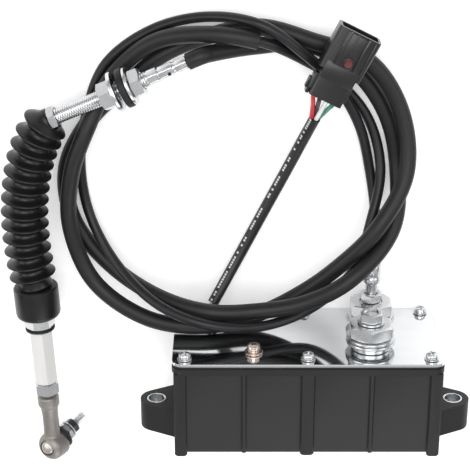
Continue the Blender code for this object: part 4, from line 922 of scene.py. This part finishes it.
cap = [(0.0044, -0.0009), (0.0044, 0.0004), (0.0040, 0.0008), (0.0030, 0.0013), (0.0018, 0.0016), (0.0006, 0.0017)]
finish_piece(lathe("socket_cap", cap_place, cap, cap_steel, 48, closed=False, sharp=40.0), *of_socket)
# Painted shade: the near-black ring round the cap and its mottle stand for the shade in the gap round it.
gap_shade = Finish("cap_crimp", metallic=0.6)
gap_shade_mottle = gap_shade.noise(400.0, 3.0)
gap_shade.vary(gap_shade_mottle, (0.035, 0.030, 0.028), (0.07, 0.065, 0.06), 0.2, 0.5)
ring = ring_profile(0.0045, 0.0053, -0.0008, 0.0006, 0.0002)
finish_piece(lathe("cap_groove", cap_place, ring, gap_shade, 48), *of_socket)

# ---------------------------------------------------------------- ball stud
# The stud's ball turns in the socket under a rubber seal. It has a hexagon flange, a thin bright washer
# and a dark nut on its threaded tip.

STUD_AXIS = Vector((0.633, 0.388, -0.670))


def stud(along):
    """Place on the stud's axis, measured from the ball's centre."""
    return placed(ball_centre + STUD_AXIS.normalized() * along, STUD_AXIS, rod_axis)


BALL = 0.006                        # its radius
flange = six_sides(0.0112)
profile = []
for i in range(1, 21):
    angle = -math.pi / 2 + (math.acos(0.5) + math.pi / 2) * i / 20
    profile.append((BALL * math.cos(angle), BALL * math.sin(angle)))
profile += [
    (0.0030, 0.0062), (0.0030, 0.0114), (0.0053, 0.0114), (flange, lambda a: 0.0114 + (flange(a) - 0.0053) * 0.6),
    (flange, lambda a: 0.0148 - (flange(a) - 0.0053) * 0.6), (0.0053, 0.0148), (0.0027, 0.0148),
]
profile += thread_profile(0.0027, 0.0003, 0.0009, 0.0149, 0.0290)
profile += [(0.0024, 0.0294), (0.0020, 0.02985)]
pin = lathe("ball_pin", stud(0.0), profile, zinc, 48, closed=False, sharp=22.0)
finish_piece(pin, "zinc_steel", "stud", "ball_stud")
profile = [
    (0.0033, 0.0068), (0.0076, 0.0068), (0.0084, 0.0073), (0.0087, 0.0083), (0.0085, 0.0096), (0.0076, 0.0106),
    (0.0062, 0.0112), (0.0033, 0.0112),
]
finish_piece(lathe("ball_seal", stud(0.0), profile, rubber, 64), "black_rubber", "stud", "stud_seal")
dark_zinc = Finish("dark_zinc", metallic=1.0)
dull = dark_zinc.noise(300.0, 4.0)
dark_zinc.vary(dull, (0.05, 0.05, 0.055), (0.11, 0.11, 0.115), 0.2, 0.25)
profile = [
    (0.0030, 0.0151), (0.0064, 0.0151), (0.0066, 0.0153), (0.0066, 0.0159), (0.0064, 0.0161), (0.0030, 0.0161),
]
finish_piece(lathe("stud_washer", stud(0.0), profile, zinc, 64), "zinc_steel", "stud", "stud_nut")
stud_flats = six_sides(0.0092)
profile = [
    (0.0030, 0.0163), (0.0043, 0.0163), (stud_flats, 0.0166),
    (stud_flats, lambda a: 0.0208 - (stud_flats(a) - 0.0044) * 0.6),
    (0.0044, 0.0208), (0.0032, 0.0208), (0.0030, 0.0206),
]
tip_nut = lathe("stud_lock_nut", stud(0.0), profile, dark_zinc, 96, sharp=18.0)
finish_piece(tip_nut, "zinc_steel", "stud", "stud_nut")

# ---------------------------------------------------------------- lead
# Four wires leave the box through a rubber grommet and run in a printed heat-shrink sleeve to a
# connector. The print is only a row of plain dashes here.

repaint("lead_grommet", rubber)
lead_route = [
    (-0.0600, 0.0136, 0.0200), (-0.0547, 0.0219, 0.0150), (-0.0467, 0.0348, 0.0085), (-0.0367, 0.0529, 0.0045),
    (-0.0269, 0.0723, 0.0041), (-0.0109, 0.1043, 0.0045), (-0.0018, 0.1248, 0.0090), (0.0039, 0.1394, 0.0160),
]
lead_line = smooth_route([Vector((x, y + PLATE, z)) for x, y, z in lead_route])
lead_leaves = (lead_line[1] - lead_line[0]).normalized()
lead_reach = (lead_line[-1] - lead_line[-2]).normalized()
shrink = Finish("shrink_sleeve", metallic=0.0, specular_ior_level=0.4)
along = shrink.add("ShaderNodeAttribute", {"attribute_name": "along"}, {}, 2)
around = shrink.add("ShaderNodeAttribute", {"attribute_name": "around"}, {}, 2)
DASH = 0.0019
cell = along / DASH
cell_number = shrink.add("ShaderNodeMath", {"operation": "FLOOR"}, {0: cell})
within = shrink.add("ShaderNodeMath", {"operation": "FRACT"}, {0: cell})
dash = shrink.add("ShaderNodeTexWhiteNoise", {"noise_dimensions": "1D"}, {"W": cell_number})
band = (around > 0.60) * (around < 0.66)
mark = band * (dash > 0.34) * (within > 0.28)
wrinkle = shrink.noise(300.0, 3.0)
ground = shrink.mix(wrinkle, (0.006, 0.006, 0.007), (0.014, 0.014, 0.015))
shrink.wear(
    colour=shrink.mix(mark * 0.8, ground, (0.66, 0.66, 0.64)), roughness=wrinkle * 0.14 + 0.34,
    bump=wrinkle, strength=0.15, depth=0.0002,
)
LEAD = 0.0074
lead = cord_mesh("lead_jacket", lead_line, LEAD, shrink, 32)
finish_piece(lead, "shrink_sleeve", "actuator", "lead_sleeve")

# ---------------------------------------------------------------- wires
# Red, white, green and black PVC wires show between grommet and sleeve, and again where they fan out
# into the connector's four ports.

GAP = 0.0003
WIRE = 0.0029
PORT_PITCH = 0.0044
BOX_WIRE = 0.0021
BUNDLE = 0.00112                    # from the bundle's middle to each wire's, along X and Z
rear = Vector((0.0081, 0.1578 + PLATE, 0.0334))
front = Vector((0.0288, 0.1990 + PLATE, 0.0334))
plug_axis = (front - rear).normalized()
plug_across = Vector((0, 0, 1)).cross(plug_axis)
tip = lead_line[-1]
side = Vector((0, 0, 1)).cross(lead_reach).normalized()
lift = lead_reach.cross(side)
paints = {}
for word, colour in (
    ("red", (0.60, 0.012, 0.02)), ("black", (0.012, 0.012, 0.013)),
    ("white", (0.82, 0.82, 0.80)), ("green", (0.008, 0.22, 0.14)),
):
    vinyl = Finish("vinyl_" + word, metallic=0.0, specular_ior_level=0.45)
    print_wear = vinyl.noise(400.0, 3.0)
    vinyl.vary(print_wear, tuple(c * 0.75 for c in colour), colour, 0.15, 0.28)
    paints[word] = vinyl
for word, port, upwards in (("red", 1.5, 1), ("black", 0.5, -1), ("white", -0.5, 1), ("green", -1.5, -1)):
    near = tip + lead_reach * GAP + side * (port * 0.0016) + lift * (upwards * 0.0009)
    hole = rear + plug_across * (port * PORT_PITCH) - plug_axis * GAP
    middle = near * 0.45 + hole * 0.55
    line = smooth_route([near, near * 0.85 + hole * 0.15, middle, hole - plug_axis * 0.001, hole])
    wire = cord_mesh(word + "_wire", line, WIRE, paints[word], 16)
    finish_piece(wire, word + "_vinyl", "actuator", "wire_" + word)
base = Vector((-0.0600, PLATE, 0.0250))
start = lead_line[0] - lead_leaves * GAP
for word, dx, dz in (("red", -1, 1), ("black", 1, 1), ("white", -1, -1), ("green", 1, -1)):
    off = Vector((dx * BUNDLE, 0, dz * BUNDLE))
    fan = Vector((dx * 0.0006, 0, dz * 0.0006))
    line = smooth_route([
        base + off + Vector((0, -0.014, 0)), base + off + Vector((0, 0.003, 0)),
        base + off + fan + Vector((-0.0009, 0.0075, -0.0011)), start + off - lead_leaves * 0.003, start + off,
    ])
    wire = cord_mesh("box_" + word + "_wire", line, BOX_WIRE, paints[word], 16)
    finish_piece(wire, word + "_vinyl", "actuator", "plate_wires")

# ---------------------------------------------------------------- connector
# A moulded hooded connector ends the lead: four wire ports, an open hood with a red seal inside, a
# latch track on top with a round window, and small ears at its sides.

gloss = Finish("glossy_nylon", metallic=0.0, specular_ior_level=0.5)
sheen = gloss.noise(60.0, 4.0)
gloss.vary(
    sheen, (0.006, 0.006, 0.007), (0.013, 0.013, 0.014), 0.12, 0.20,
    bump=gloss.noise(300.0, 3.0), strength=0.10, depth=0.0002,
)
plug_shell = eased_copy("connector", "connector_shell", 0.0007, 3, gloss)
of_shell = ("black_plastic", "actuator", "connector")
finish_piece(plug_shell, *of_shell)


def shell_bar(name, back, ahead, aside, wide, low, high):
    """Bar along the connector between two distances from its rear face, with rounded edges."""
    work = bmesh.new()
    bmesh.ops.create_cube(work, size=1.0)
    bmesh.ops.scale(work, vec=(wide, ahead - back, high - low), verts=work.verts)
    middle = rear + plug_axis * (back + ahead) / 2 + plug_across * aside + Vector((0, 0, (low + high) / 2))
    work.transform(placed(middle, (0, 0, 1), -plug_across))
    bmesh.ops.bevel(work, geom=work.edges[:], offset=0.00035, segments=2, affect="EDGES", profile=0.6)
    bmesh.ops.recalc_face_normals(work, faces=work.faces)
    finish_piece(made_object(name, work, gloss, 40), *of_shell)


TOP = 0.0070                        # shell's upper face above its axis
for row in (
    ("latch_plate", 0.0235, 0.0450, 0.0000, 0.0150, TOP - 0.0006, TOP + 0.0010),
    ("latch_rail_left", 0.0240, 0.0455, 0.0058, 0.0016, TOP, TOP + 0.0022),
    ("latch_rail_mid", 0.0260, 0.0455, 0.0012, 0.0012, TOP, TOP + 0.0018),
    ("latch_rail_right", 0.0240, 0.0455, -0.0062, 0.0018, TOP, TOP + 0.0022),
    ("hood_rail", 0.0240, 0.0455, -0.0108, 0.0012, TOP - 0.0006, TOP + 0.0007),
    ("side_ear", -0.0010, 0.0120, 0.0118, 0.0022, -0.0052, 0.0022),
    ("side_ear_step", 0.0015, 0.0085, 0.0134, 0.0018, -0.0040, 0.0006),
    ("rear_step", 0.0130, 0.0242, 0.0000, 0.0216, TOP - 0.0024, TOP + 0.0004),
):
    shell_bar(*row)
window_at = rear + plug_axis * 0.0275 - plug_across * 0.0010 + Vector((0, 0, TOP + 0.0008))
window = placed(window_at, (0, 0, 1), plug_axis)
rim = lathe("window_rim", window, ring_profile(0.0026, 0.0034, 0.0, 0.0014, 0.0003), gloss, 48)
finish_piece(rim, *of_shell)
seal_red = Finish("red_seal", metallic=0.0, specular_ior_level=0.4)
gum = seal_red.noise(500.0, 3.0)
seal_red.vary(gum, (0.42, 0.008, 0.02), (0.62, 0.02, 0.035), 0.2, 0.35)
repaint("connector_seal", seal_red)
button = [(0.0027, 0.0), (0.0027, 0.0008), (0.0020, 0.0006), (0.0004, 0.0006)]
dim_red = Finish("shaded_seal", metallic=0.0, specular_ior_level=0.4)
mottle = dim_red.noise(1200.0, 3.0)
dim_red.vary(mottle, (0.012, 0.003, 0.004), (0.20, 0.012, 0.016), 0.2, 0.35)
window_seal = lathe("window_seal", window, button, dim_red, 32, closed=False)
finish_piece(window_seal, "seal_red", "actuator", "connector_seal")
length_of(lead_line)
